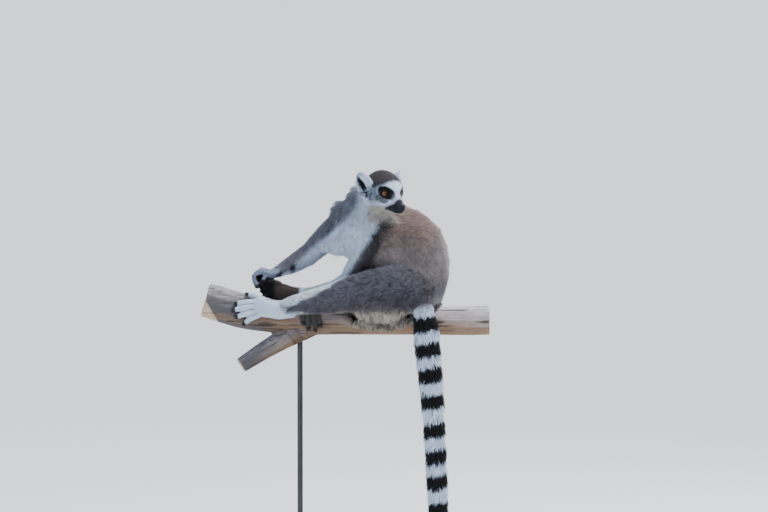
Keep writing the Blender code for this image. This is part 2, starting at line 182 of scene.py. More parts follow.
def apply_modifiers(obj: Object) -> None:
    """Applies every modifier of an object, in their order.

    Args:
        obj: The object.
    """
    only(obj)
    for name in [m.name for m in obj.modifiers]:
        bpy.ops.object.modifier_apply(modifier=name)


def close_up(obj: Object, voxel: float) -> None:
    """Remakes an object's mesh as one closed surface.

    Args:
        obj: The object.
        voxel: The size of the new mesh's cells, in metres.
    """
    remesh = obj.modifiers.new("close", "REMESH")
    remesh.mode, remesh.voxel_size = "VOXEL", voxel
    apply_modifiers(obj)


def settle(obj: Object, name: str) -> Object:
    """Names a piece and moves its place into its mesh.

    Args:
        obj: The piece, wherever it was modelled.
        name: Its final name.

    Returns:
        The same piece, with its object at the origin.
    """
    obj.name = obj.data.name = name
    only(obj)
    bpy.ops.object.transform_apply(location=True, rotation=True, scale=True)
    return obj


def pick(obj: Object, chosen: Array, mode: str = "VERT") -> None:
    """Selects parts of a mesh in object mode and enters edit mode with them selected.

    Args:
        obj: The mesh object.
        chosen: One truth value for each vertex, edge or face.
        mode: VERT, EDGE or FACE.
    """
    only(obj)
    bpy.ops.object.mode_set(mode="EDIT")
    bpy.ops.mesh.select_mode(type=mode)
    bpy.ops.mesh.select_all(action="DESELECT")
    bpy.ops.object.mode_set(mode="OBJECT")
    rows = {"VERT": obj.data.vertices, "EDGE": obj.data.edges, "FACE": obj.data.polygons}[mode]
    rows.foreach_set("select", np.asarray(chosen, bool))
    bpy.ops.object.mode_set(mode="EDIT")


def leave_edit() -> None:
    """Goes back to object mode."""
    bpy.ops.object.mode_set(mode="OBJECT")


def soften(obj: Object, angle: float = 35.0) -> None:
    """Shades obj smooth, but for edges sharper than angle, in degrees."""
    only(obj)
    bpy.ops.object.shade_smooth_by_angle(angle=math.radians(angle))


def finish_piece(obj: Object, material: Material, slot: str, *nodes: str) -> None:
    """Dresses a finished piece and ties it to the frame.

    Args:
        obj: The piece.
        material: What it is made of.
        slot: The record's slot for this piece; not used.
        *nodes: The solids that it stands for.
    """
    obj.data.materials.clear()
    obj.data.materials.append(material)
    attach(obj, "root")
    if nodes:
        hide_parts(*nodes)
    log.info("%s: %d faces", obj.name, len(obj.data.polygons))


def linked(name: str, data: bpy.types.ID) -> Object:
    """Makes an object and links it to the scene.

    Args:
        name: The object's name.
        data: Its mesh, light or camera.

    Returns:
        The new object.
    """
    obj = bpy.data.objects.new(name, data)
    bpy.context.scene.collection.objects.link(obj)
    return obj


def copy_of(model: Object) -> Object:
    """Copies an object with its mesh.

    Args:
        model: The object to copy.

    Returns:
        The copy, linked to the scene.
    """
    copied = model.copy()
    copied.data = model.data.copy()
    bpy.context.scene.collection.objects.link(copied)
    return copied


def new_sphere(segments: int, rings: int, radius: float) -> Object:
    """Adds a sphere round the origin.

    Args:
        segments: How many faces it has round its axis.
        rings: How many from pole to pole.
        radius: Its radius, in metres.

    Returns:
        The new object.
    """
    bpy.ops.object.select_all(action="DESELECT")
    bpy.ops.mesh.primitive_uv_sphere_add(segments=segments, ring_count=rings, radius=radius)
    return bpy.context.object


def new_mesh(name: str, points: Array, faces: Array) -> Object:
    """Makes an object from arrays.

    Args:
        name: The object's name.
        points: The vertices, in metres.
        faces: The vertex numbers of each face, all with as many corners.

    Returns:
        The new object, linked to the scene.
    """
    mesh = bpy.data.meshes.new(name)
    count, corners = faces.shape
    mesh.vertices.add(len(points))
    mesh.loops.add(count * corners)
    mesh.polygons.add(count)
    mesh.vertices.foreach_set("co", points.astype(np.float32).ravel())
    mesh.loops.foreach_set("vertex_index", faces.astype(np.int32).ravel())
    mesh.polygons.foreach_set("loop_start", np.arange(0, count * corners, corners, dtype=np.int32))
    mesh.polygons.foreach_set("use_smooth", np.ones(count, bool))
    mesh.update(calc_edges=True)
    return linked(name, mesh)


def paint(obj: Object, name: str, colours: Array) -> None:
    """Stores a colour for each vertex of obj under the attribute name."""
    rows = np.column_stack([colours, np.ones(len(colours))]).astype(np.float32)
    obj.data.attributes.new(name, "FLOAT_COLOR", "POINT").data.foreach_set("color", rows.ravel())


def store(obj: Object, name: str, values: Array) -> None:
    """Stores a number or a vector for each vertex of obj under the attribute name."""
    kind, key = ("FLOAT", "value") if values.ndim == 1 else ("FLOAT_VECTOR", "vector")
    obj.data.attributes.new(name, kind, "POINT").data.foreach_set(key, values.astype(np.float32).ravel())


def node_points(name: str) -> Array:
    """Reads the vertices of one solid of the frame.

    Args:
        name: The solid's name.

    Returns:
        Their places, in metres.
    """
    mesh = frame["nodes"][name].data
    points = np.empty(len(mesh.vertices) * 3, np.float32)
    mesh.vertices.foreach_get("co", points)
    return points.reshape(-1, 3).astype(float)


def node_middle(name: str) -> Array:
    """The middle of a solid's box."""
    low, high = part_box(name)
    return np.array((low + high) / 2)


def point_tree(points: Array) -> KDTree:
    """Sorts points for quick searches of the nearest.

    Args:
        points: The points, one row each.

    Returns:
        A tree that numbers them by their rows.
    """
    tree = KDTree(len(points))
    for n, p in enumerate(points):
        tree.insert(p, n)
    tree.balance()
    return tree


@dataclass
class Surface:
    """A closed mesh held as arrays, for work on all of its vertices at once."""

    points: Array
    faces: Array
    edges: Array

    @classmethod
    def of(cls, obj: Object) -> "Surface":
        """Reads an object's mesh.

        Args:
            obj: The object to read.

        Returns:
            Its vertices, triangles and edges.
        """
        mesh = obj.data
        mesh.calc_loop_triangles()
        points = np.empty(len(mesh.vertices) * 3, np.float32)
        faces = np.empty(len(mesh.loop_triangles) * 3, np.int32)
        edges = np.empty(len(mesh.edges) * 2, np.int32)
        mesh.vertices.foreach_get("co", points)
        mesh.loop_triangles.foreach_get("vertices", faces)
        mesh.edges.foreach_get("vertices", edges)
        return cls(points.reshape(-1, 3).astype(float), faces.reshape(-1, 3), edges.reshape(-1, 2))

    def welded(self) -> "Surface":
        """The same surface, with vertices that share a place made one."""
        merged, index = np.unique(np.round(self.points, 6), axis=0, return_inverse=True)
        return Surface(merged, index.reshape(-1)[self.faces], self.edges)

    def write(self, obj: Object) -> None:
        """Moves the vertices of obj to this surface's points."""
        obj.data.vertices.foreach_set("co", self.points.astype(np.float32).ravel())
        obj.data.update()

    def spans(self) -> Array:
        """The vector from one end of each edge to the other."""
        first, second = self.edges.T
        return self.points[second] - self.points[first]

    def normals(self) -> Array:
        """Works out the normals from the triangles round each vertex.

        Returns:
            The unit normal at each vertex.
        """
        a, b, c = (self.points[self.faces[:, k]] for k in range(3))
        across = np.cross(b - a, c - a)
        total = np.zeros_like(self.points)
        for corner in range(3):
            for axis in range(3):
                total[:, axis] += np.bincount(self.faces[:, corner], across[:, axis], len(self.points))
        return unit(total)

    def relaxed(self, values: Array, weight: float | Array, rounds: int) -> Array:
        """Evens out values over the mesh.

        Args:
            values: A number or a row of numbers for each vertex.
            weight: How far each vertex goes to its neighbours' mean in a round, from 0 to 1.
            rounds: How many times this is done.

        Returns:
            The evened values.
        """
        rows = values.reshape(len(values), -1).astype(float)
        count = np.maximum(np.bincount(self.edges.ravel(), minlength=len(rows)), 1)[:, None]
        first, second = self.edges.T
        weight = np.reshape(weight, (-1, 1)) if np.ndim(weight) else weight
        for _ in range(rounds):
            total = np.zeros_like(rows)
            for n, column in enumerate(rows.T):
                total[:, n] = np.bincount(first, column[second], len(rows))
                total[:, n] += np.bincount(second, column[first], len(rows))
            rows = rows + weight * (total / count - rows)
        return rows.reshape(values.shape)


# ---- finishes


class Sheet:
    """A material's sheet of nodes, with one Principled shader."""

    def __init__(self, name: str, **sockets: float) -> None:
        """Starts a sheet.

        Args:
            name: The material's name.
            **sockets: Values for the shader's sockets, with _ for each space.
        """
        self.material = bpy.data.materials.new(name)
        self.material.use_nodes = True
        self.tree = self.material.node_tree
        self.shader = self.tree.nodes["Principled BSDF"]
        for key, value in sockets.items():
            self.shader.inputs[key.replace("_", " ")].default_value = value

    def add(self, kind: str, inputs: dict, **settings: object) -> bpy.types.Node:
        """Adds a node.

        Args:
            kind: The node's type, without ShaderNode.
            inputs: For each input's name or number, a value or the output that feeds it.
            **settings: Values for the node's own settings.

        Returns:
            The new node.
        """
        node = self.tree.nodes.new("ShaderNode" + kind)
        for key, value in settings.items():
            setattr(node, key, value)
        for key, value in inputs.items():
            if isinstance(value, NodeSocket):
                self.tree.links.new(value, node.inputs[key])
            else:
                node.inputs[key].default_value = value
        return node

    def attribute(self, name: str, output: str = "Color") -> NodeSocket:
        """An output that reads one of the piece's own attributes."""
        return self.add("Attribute", {}, attribute_name=name).outputs[output]

    def place(self, scale: Triple = (1, 1, 1)) -> NodeSocket:
        """The piece's own coordinates, in metres, scaled along each axis."""
        coordinates = self.add("TexCoord", {}).outputs["Object"]
        return self.add("Mapping", {"Vector": coordinates, "Scale": scale}).outputs["Vector"]

    def noise(self, where: NodeSocket, scale: float, detail: float = 3.0) -> NodeSocket:
        """A noise over the coordinates where, from 0 to 1."""
        made = self.add("TexNoise", {"Vector": where, "Scale": scale, "Detail": detail})
        return made.outputs["Fac"]

    def spread(self, value: NodeSocket, low: float, high: float) -> NodeSocket:
        """Stretches the middle of a noise, 0.3 to 0.7, over low to high."""
        inputs = {"Value": value, "From Min": 0.3, "From Max": 0.7, "To Min": low, "To Max": high}
        return self.add("MapRange", inputs).outputs["Result"]

    def shade(self, colour: NodeSocket, value: NodeSocket) -> NodeSocket:
        """The colour made lighter or darker by value, which is 1 where it stays."""
        made = self.add("HueSaturation", {"Color": colour, "Value": value})
        return made.outputs["Color"]

    def plain(self, colour: Triple) -> NodeSocket:
        """Adds a plain colour.

        Args:
            colour: The colour.

        Returns:
            The output that gives it.
        """
        base = self.add("RGB", {}).outputs[0]
        base.default_value = (*colour, 1)
        return base

    def laid_over(self, under: NodeSocket, over: Triple, amount: NodeSocket) -> NodeSocket:
        """Lays a plain colour over another.

        Args:
            under: The colour below.
            over: The plain colour.
            amount: How much of it shows, from 0 to 1.

        Returns:
            The mixed colour.
        """
        node = self.add("Mix", {}, data_type="RGBA", blend_type="MIX")
        ports = {port.name: port for port in node.inputs if port.enabled}
        self.tree.links.new(amount, ports["Factor"])
        self.tree.links.new(under, ports["A"])
        ports["B"].default_value = (*over, 1)
        return next(port for port in node.outputs if port.enabled)

    def finish(
        self,
        colour: NodeSocket,
        height: NodeSocket | None = None,
        depth: float = 0.0,
        roughness: NodeSocket | None = None,
    ) -> Material:
        """Joins everything to the shader.

        Args:
            colour: Feeds the base colour.
            height: Feeds a bump, if any.
            depth: The bump's height, in metres.
            roughness: Feeds the roughness, if it varies.

        Returns:
            The finished material.
        """
        self.tree.links.new(colour, self.shader.inputs["Base Color"])
        if height is not None:
            bump = self.add("Bump", {"Height": height, "Distance": depth, "Strength": 1.0})
            self.tree.links.new(bump.outputs["Normal"], self.shader.inputs["Normal"])
        if roughness is not None:
            self.tree.links.new(roughness, self.shader.inputs["Roughness"])
        return self.material


@dataclass(frozen=True)
class FurFinish:
    """Hair or skin that takes its colour from the tint painted on the piece."""

    name: str
    roughness: float = 0.8
    sheen: float = 0.05
    specular: float = 0.18
    grain: float = 900.0
    bump: float = 0.0

    def make(self) -> Material:
        """Builds the material: the tint, broken up by a fine noise.

        Returns:
            The material.
        """
        sheet = Sheet(
            self.name,
            Roughness=self.roughness,
            Sheen_Weight=self.sheen,
            Sheen_Roughness=0.5,
            Specular_IOR_Level=self.specular,
        )
        where = sheet.place()
        uneven = sheet.spread(sheet.noise(where, self.grain), 0.86, 1.14)
        colour = sheet.shade(sheet.attribute("tint"), uneven)
        return sheet.finish(colour, sheet.noise(where, self.grain) if self.bump else None, self.bump)


@dataclass(frozen=True)
class IrisFinish:
    """An eye: black pupil, amber iris with fine spokes, dark rim and a wet gloss over all.

    The pupil and the iris end at these angles off the eye's axis, in degrees.
    """

    name: str = "wet_amber_eye"
    pupil: float = 12.0
    iris: float = 36.0
    black: Triple = (0.004, 0.003, 0.003)
    inner: Triple = (0.15, 0.050, 0.012)
    amber: Triple = (0.20, 0.076, 0.018)
    outer: Triple = (0.10, 0.034, 0.008)
    rim: Triple = (0.012, 0.008, 0.007)
    ball: Triple = (0.02, 0.014, 0.012)

    def make(self) -> Material:
        """Builds the material on the angle off the eye's axis, stored on the piece in degrees.

        Returns:
            The material.
        """
        gloss = {"Roughness": 0.08, "Specular_IOR_Level": 0.22, "Coat_Weight": 0.12, "Coat_Roughness": 0.03}
        sheet = Sheet(self.name, **gloss)
        off_axis = sheet.attribute("off_axis", "Fac")
        spokes = sheet.noise(sheet.attribute("spokes", "Vector"), 5.0, 4.0)
        wobble = sheet.add("Math", {0: spokes, 1: 3.0}, operation="MULTIPLY").outputs[0]
        angle = sheet.add("Math", {0: off_axis, 1: wobble}, operation="ADD").outputs[0]
        place = sheet.add("Math", {0: angle, 1: 90.0}, operation="DIVIDE").outputs[0]
        bands = sheet.add("ValToRGB", {"Fac": place})
        elements = bands.color_ramp.elements
        elements.remove(elements[1])
        elements[0].color = (*self.black, 1)
        for position, colour in (
            (self.pupil / 90, self.black),
            (self.pupil / 90 + 0.02, self.inner),
            (self.iris / 90 - 0.11, self.amber),
            (self.iris / 90 - 0.04, self.outer),
            (self.iris / 90 + 0.02, self.rim),
            (1.0, self.ball),
        ):
            elements.new(position).color = (*colour, 1)
        return sheet.finish(sheet.shade(bands.outputs["Color"], sheet.spread(spokes, 0.75, 1.25)))


@dataclass(frozen=True)
class LeatherFinish:
    """Bare black skin and horn, as on the nose and the nails."""

    name: str
    colour: Triple = (0.010, 0.010, 0.012)
    roughness: float = 0.42
    grain: float = 1500.0
    bump: float = 0.00008

    def make(self) -> Material:
        """Builds the material: a dark colour with a fine pebbled bump.

        Returns:
            The material.
        """
        sheet = Sheet(self.name, Roughness=self.roughness, Specular_IOR_Level=0.3)
        where = sheet.place()
        pebbles = sheet.add("TexVoronoi", {"Vector": where, "Scale": self.grain}).outputs["Distance"]
        uneven = sheet.spread(sheet.noise(where, 220.0), 0.7, 1.4)
        return sheet.finish(sheet.shade(sheet.plain(self.colour), uneven), pebbles, self.bump)


@dataclass(frozen=True)
class WoodFinish:
    """Weathered bare wood: long grain and drying cracks over the painted tint."""

    name: str = "weathered_branch"
    grain_scale: Triple = (11.0, 190.0, 190.0)
    crack_scale: Triple = (9.0, 95.0, 95.0)
    crack_colour: Triple = (0.05, 0.035, 0.028)
    relief: float = 0.0012

    def make(self) -> Material:
        """Builds the material on the coordinates that run along the branch.

        Returns:
            The material.
        """
        sheet = Sheet(self.name, Roughness=0.82, Specular_IOR_Level=0.3)
        along = sheet.attribute("along", "Vector")
        fine = sheet.add("Mapping", {"Vector": along, "Scale": self.grain_scale}).outputs["Vector"]
        grain = sheet.noise(fine, 3.0, 6.0)
        wide = sheet.add("Mapping", {"Vector": along, "Scale": self.crack_scale}).outputs["Vector"]
        hollows = {"Value": sheet.noise(wide, 1.6, 5.0), "From Min": 0.60, "From Max": 0.68}
        cracks = sheet.add("MapRange", hollows).outputs["Result"]
        colour = sheet.shade(sheet.attribute("tint"), sheet.spread(grain, 0.72, 1.25))
        cracked = sheet.laid_over(colour, self.crack_colour, cracks)
        height = sheet.add("Math", {0: grain, 1: cracks}, operation="SUBTRACT").outputs[0]
        return sheet.finish(cracked, height, self.relief)


@dataclass(frozen=True)
class MetalFinish:
    """Satin black lacquer or paint, with the faint unevenness of a sprayed coat."""

    name: str
    colour: Triple = (0.022, 0.022, 0.024)
    roughness: float = 0.42

    def make(self) -> Material:
        """Builds the material: a cloudy sheen over a very fine grain.

        Returns:
            The material.
        """
        sheet = Sheet(self.name, Specular_IOR_Level=0.5)
        where = sheet.place()
        cloud = sheet.noise(where, 35.0)
        colour = sheet.shade(sheet.plain(self.colour), sheet.spread(cloud, 0.8, 1.25))
        rough = sheet.spread(cloud, self.roughness - 0.05, self.roughness + 0.06)
        return sheet.finish(colour, sheet.noise(where, 900.0), 0.00006, rough)


# ---- the animal's frame


class Part(Enum):
    """The parts of the animal, as its solids are named."""

    HEAD = "head"
    EAR = "ear"
    EYE = "eye"
    NOSE = "nose"
    NECK = "neck"
    CHEST = "chest"
    RUMP = "rump"
    UPPER_ARM = "upper_arm"
    FOREARM = "forearm"
    HAND = "hand"
    THIGH = "thigh"
    SHIN = "shin"
    FOOT = "foot"
    TAIL = "tail"


@dataclass(frozen=True)
class Fur:
    """The coat of one part: how deep it stands, and its tufts' size, in millimetres."""

    depth: float
    length: float
    width: float
    # clump also sets how much painted shade darkens the roots of the tufts
    clump: float = 0.35  # how strongly tips lean to their lock
    grizzle: float = 0.3  # how often they are dark
    blur: float = 2.2  # how far the markings run into one another
    smoothing: int = 10  # of the skin, in rounds

    def tuft(self) -> tuple[float, ...]:
        """The numbers that each tuft needs."""
        return self.length, self.width, self.clump, self.grizzle, self.blur


FUR = {
    Part.HEAD: Fur(3.0, 5.4, 0.72, 0.12, 0.12, 0.7, 4),
    Part.EAR: Fur(1.1, 4.4, 0.65, 0.12, 0.08, 0.5, 2),
    Part.EYE: Fur(1.5, 2.5, 0.6, 0.0, 0.0, 0.5, 4),
    Part.NOSE: Fur(0.2, 2.0, 0.6, 0.0, 0.0, 0.5, 2),
    Part.NECK: Fur(8.0, 14.0, 1.2, 0.35, 0.12),
    Part.CHEST: Fur(8.5, 17.0, 1.4, 0.55, 0.15),
    Part.RUMP: Fur(9.0, 15.0, 1.3, 0.30, 0.25),
    Part.UPPER_ARM: Fur(6.0, 11.5, 1.1, 0.3, 0.2, 2.6),
    Part.FOREARM: Fur(4.2, 8.5, 0.95, 0.25, 0.2, 2.2, 6),
    Part.HAND: Fur(0.6, 2.6, 0.55, 0.1, 0.1, 0.8, 2),
    Part.THIGH: Fur(8.0, 12.0, 1.2, 0.35, 0.5),
    Part.SHIN: Fur(5.0, 8.5, 1.0, 0.25, 0.4, 1.8, 8),
    Part.FOOT: Fur(0.7, 2.9, 0.55, 0.1, 0.05, 0.6, 2),
    Part.TAIL: Fur(11.0, 18.0, 1.4, 0.50, 0.10, 1.2),
}

# The digits of each paw: knuckle, joint and tip, in mm from the seat
DIGITS = {
    "hand_right": [
        [(-174, 8, 60), (-182, -1, 55), (-187, -3, 47)],
        [(-185, 1, 66), (-201, -2, 58), (-194, -2, 38)],
        [(-187, 8, 68), (-203, 6, 57), (-196, 6, 38)],
        [(-186, 15, 67), (-202, 15, 56), (-196, 15, 38)],
        [(-183, 21, 65), (-197, 23, 55), (-192, 22, 40)],
    ],
    "hand_left": [
        [(-90, 4, 13), (-80, -8, 13), (-75, -20, 3)],
        [(-110, -18, 8), (-114, -33, -5), (-113, -34, -26)],
        [(-104, -20, 7), (-105, -34, -8), (-103, -33, -36)],
        [(-97, -20, 7), (-95, -34, -8), (-90, -32, -39)],
        [(-91, -17, 8), (-86, -32, -6), (-81, -32, -30)],
    ],
    "foot_left": [
        [(-184, -30, 17), (-198, -24, 23), (-214, -17, 26)],
        [(-198, -34, 13), (-214, -35, 13), (-234, -31, 10)],
        [(-202, -37, 5), (-218, -38, 3), (-238, -34, -2)],
        [(-200, -37, -4), (-215, -39, -8), (-233, -34, -14)],
        [(-194, -36, -11), (-207, -37, -17), (-219, -32, -27)],
    ],
    "foot_right": [
        [(-156, 9, 43), (-167, 4, 47), (-176, 0, 46)],
        [(-168, 8, 44), (-179, 6, 46), (-187, 3, 45)],
        [(-170, 8, 38), (-181, 6, 39), (-189, 2, 38)],
        [(-170, 8, 31), (-181, 6, 31), (-188, 2, 30)],
        [(-167, 8, 22), (-177, 6, 21), (-184, 2, 20)],
    ],
}
BACKS = {  # which way the back of each paw faces
    "hand_right": (-0.9, -0.3, 0.1),
    "hand_left": (0.0, -1.0, 0.1),
    "foot_left": (0.1, -1.0, 0.1),
    "foot_right": (0.0, 1.0, 0.0),
}


def part_of(node: str) -> Part:
    """The part that a solid belongs to, by its name."""
    return next(p for p in Part if node == p.value or node.rsplit("_", 1)[0] == p.value)


def side_of(node: str) -> str:
    """The side in a solid's name, or the name's last word."""
    return node.rsplit("_", 1)[-1]


def numbers_of(*parts: Part) -> list[int]:
    """The numbers in FLESH of the solids of these parts."""
    return [n for n, node in enumerate(FLESH) if part_of(node) in parts]


FLESH = [n for n in sorted(frame["nodes"]) if any(n.startswith(p.value) for p in Part)]
FLESH_SHOWN = [n for n in FLESH if part_of(n) not in (Part.EYE, Part.NOSE)]
TAIL_NODES = [n for n in FLESH if n.startswith("tail")]


def meeting(first: str, second: str, reach: float = 1.5 * MM) -> Array:
    """The middle of where two solids face each other.

    Args:
        first: One solid's name.
        second: The other's.
        reach: How close a vertex of the first is to the second there, in metres.

    Returns:
        The mean of those vertices, or the point midway between the solids.
    """
    mesh = frame["nodes"][second].data
    tree = BVHTree.FromPolygons([v.co for v in mesh.vertices], [p.vertices[:] for p in mesh.polygons])
    found = [p for p in node_points(first) if tree.find_nearest(Vector(p), reach)[0] is not None]
    return np.mean(found, 0) if found else (node_middle(first) + node_middle(second)) / 2


@dataclass
class Chain:
    """A line of bones, from the body outwards."""

    points: Array

    def read(self, where: Array) -> tuple[Array, Array, Array]:
        """Finds where points lie along the chain.

        Args:
            where: Points, one row each.

        Returns:
            The distance along the chain, its direction there, and its nearest point.
        """
        start, end = self.points[:-1], self.points[1:]
        spans = end - start
        lengths = np.linalg.norm(spans, axis=1)
        before = np.concatenate([[0], np.cumsum(lengths)[:-1]])
        at_points = unit(np.vstack([spans[:1], unit(spans[1:]) + unit(spans[:-1]), spans[-1:]]))
        offset = where[:, None] - start[None]
        t = np.clip((offset * spans).sum(2) / lengths**2, 0, 1)
        feet = start[None] + spans[None] * t[..., None]
        nearest = np.linalg.norm(where[:, None] - feet, axis=2).argmin(1)
        rows = np.arange(len(where))
        t = t[rows, nearest]
        direction = unit(at_points[nearest] * (1 - t)[:, None] + at_points[nearest + 1] * t[:, None])
        return before[nearest] + lengths[nearest] * t, direction, feet[rows, nearest]


class Skeleton:
    """Chains through the solids, and the head's own axes.

    Points of the head's own frame are in mm: ahead, to the left and up, from its middle.
    """

    seat_above_tail_1 = 66 * MM
    nose_dip = math.atan2(15.0, 37.5)  # the fall from the eyes to the nose
    eyes_ahead, eyes_up = 20.5, 3  # of the head's middle, in mm
    eye_lift = 4.0  # in degrees
    ear_slit = ((-25.0, 44.0, 22.0), (-17.0, 36.5, 5.0), (-7.5, 32.0, -8.0))  # of the left ear, from its top
    ear_opens = (0.57, 0.80, -0.1)  # the way in which the left ear opens
    slit_width = 2.6  # half of it at the ends, in mm, and what the middle has more

    def __init__(self) -> None:
        """Reads every landmark from the frame."""
        self.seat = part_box("tail_1")[0].z + self.seat_above_tail_1
        eyes = {side: node_middle(f"eye_{side}") for side in SIDES}
        nose = node_middle("nose")
        middle = (eyes["left"] + eyes["right"]) / 2
        self.eyes, self.nose = eyes, nose
        lateral = unit(eyes["left"] - eyes["right"])
        ahead = nose - middle
        ahead = unit(ahead - lateral * ahead.dot(lateral))
        above = np.cross(ahead, lateral)
        forward = ahead * math.cos(self.nose_dip) + above * math.sin(self.nose_dip)
        up = above * math.cos(self.nose_dip) - ahead * math.sin(self.nose_dip)
        self.head_axes = np.array([forward, lateral, up])
        self.head_centre = middle - forward * self.eyes_ahead * MM - up * self.eyes_up * MM
        tail = [meeting("rump", "tail_1")] + [meeting(a, b) for a, b in zip(TAIL_NODES, TAIL_NODES[1:])]
        tip = node_points("tail_6")
        tail.append(tip[tip[:, 2].argmin()])
        spine = [self.head_centre, meeting("head", "neck"), meeting("neck", "chest"), node_middle("chest")]
        spine += [meeting("chest", "rump"), node_middle("rump"), tail[0]]
        self.chains = {"trunk": Chain(np.array(spine)), "tail": Chain(np.array(tail))}
        for side in SIDES:
            for limb, (root, upper, lower, end) in {
                "arm": ("chest", "upper_arm", "forearm", "hand"),
                "leg": ("rump", "thigh", "shin", "foot"),
            }.items():
                upper, lower, end = (f"{n}_{side}" for n in (upper, lower, end))
                start = meeting(root, upper)
                start = (start + node_middle(upper)) / 2 if limb == "leg" else start
                joints = [start, meeting(upper, lower), meeting(lower, end), node_middle(end)]
                self.chains[f"{limb}_{side}"] = Chain(np.array(joints))

    def on_head(self, where: Array) -> Array:
        """Points in the head's own frame, in mm: ahead, to the left and up."""
        return (where - self.head_centre) @ self.head_axes.T / MM

    def from_head(self, local: Array) -> Array:
        """The world's point for a point of the head's own frame, in mm."""
        return self.head_centre + np.asarray(local, float) * MM @ self.head_axes

    def gaze(self, side: str, aside: float = 17.0) -> Array:
        """Finds the way in which an eye looks.

        Args:
            side: Which eye.
            aside: How far its gaze turns out from straight ahead, in degrees.

        Returns:
            The direction.
        """
        turn, lift, way = math.radians(aside), math.radians(self.eye_lift), 1 if side == "left" else -1
        local = (math.cos(turn) * math.cos(lift), way * math.sin(turn) * math.cos(lift), math.sin(lift))
        return np.array(local) @ self.head_axes

    def ear_hollow(self, where: Array, normals: Array, side: str) -> Array:
        """How far points lie from the slit of an ear: below 1 they are in it.

        Args:
            where: The points, in metres.
            normals: The outward direction at each.
            side: Which ear.

        Returns:
            A distance for each point, large on the ear's back.
        """
        way = np.array([1, 1 if side == "left" else -1, 1])
        slit = Chain(np.array(self.ear_slit) * way)
        h = self.on_head(where)
        along, _, foot = slit.read(h)
        width = self.slit_width + self.slit_width * ramp(along, 3, 16) * ramp(along, 40, 32)
        off = h - foot
        opening = unit(np.array(self.ear_opens) * way)
        outward = off @ opening
        facing = normals @ (opening @ self.head_axes)
        behind = np.maximum(ramp(outward, -4, -8), ramp(facing, 0.25, 0.0))
        return np.linalg.norm(off - outward[:, None] * opening, axis=1) / width + 3 * behind

    def chain_of(self, node: str) -> Chain:
        """Finds the chain that a solid lies on.

        Args:
            node: The solid's name.

        Returns:
            The chain.
        """
        part = part_of(node)
        if part in (Part.UPPER_ARM, Part.FOREARM, Part.HAND):
            return self.chains[f"arm_{side_of(node)}"]
        if part in (Part.THIGH, Part.SHIN, Part.FOOT):
            return self.chains[f"leg_{side_of(node)}"]
        return self.chains["tail" if part is Part.TAIL else "trunk"]


# ---- markings


@dataclass(frozen=True)
class Palette:
    """The colours of the animal, as the surfaces reflect them, with a blue cast of painted skylight on the
    whites and greys. The dark shoulder band, the low flank and the left hand also hold painted shade, and the
    top of the shin painted light.
    """

    back: Triple = (0.225, 0.160, 0.140)
    flank: Triple = (0.300, 0.250, 0.240)
    edge: Triple = (0.400, 0.350, 0.370)
    # painted shade: the low flank between the left arm and the thigh, and the left arm's near side, darkened
    # as in shadow
    low_flank_shade: Triple = (0.090, 0.083, 0.089)
    parting: Triple = (0.400, 0.340, 0.300)
    shoulder: Triple = (0.078, 0.078, 0.102)
    hip: Triple = (0.200, 0.190, 0.215)
    limb: Triple = (0.160, 0.155, 0.190)
    low_limb: Triple = (0.120, 0.110, 0.130)
    # the whites, like the greys, carry a blue cast of painted skylight
    white: Triple = (0.610, 0.690, 0.850)
    # painted light: a white made brighter, for the shin's top as lit from above
    sunlit_white: Triple = (0.800, 0.880, 0.990)
    muzzle: Triple = (0.015, 0.016, 0.023)
    lilac: Triple = (0.330, 0.340, 0.400)
    cream: Triple = (0.520, 0.450, 0.370)
    crown: Triple = (0.046, 0.040, 0.045)
    nape: Triple = (0.036, 0.036, 0.046)
    grey: Triple = (0.240, 0.255, 0.310)
    temple: Triple = (0.055, 0.068, 0.098)
    black: Triple = (0.004, 0.004, 0.005)
    pad: Triple = (0.016, 0.014, 0.016)
    sole: Triple = (0.060, 0.042, 0.036)
    hand: Triple = (0.200, 0.225, 0.300)
    # painted shade: the left hand's grey, made dark as in the shadow under the shin
    hand_in_shade: Triple = (0.065, 0.060, 0.057)
    # grey shoulder fur darkened with painted shade
    band: Triple = (0.046, 0.042, 0.046)


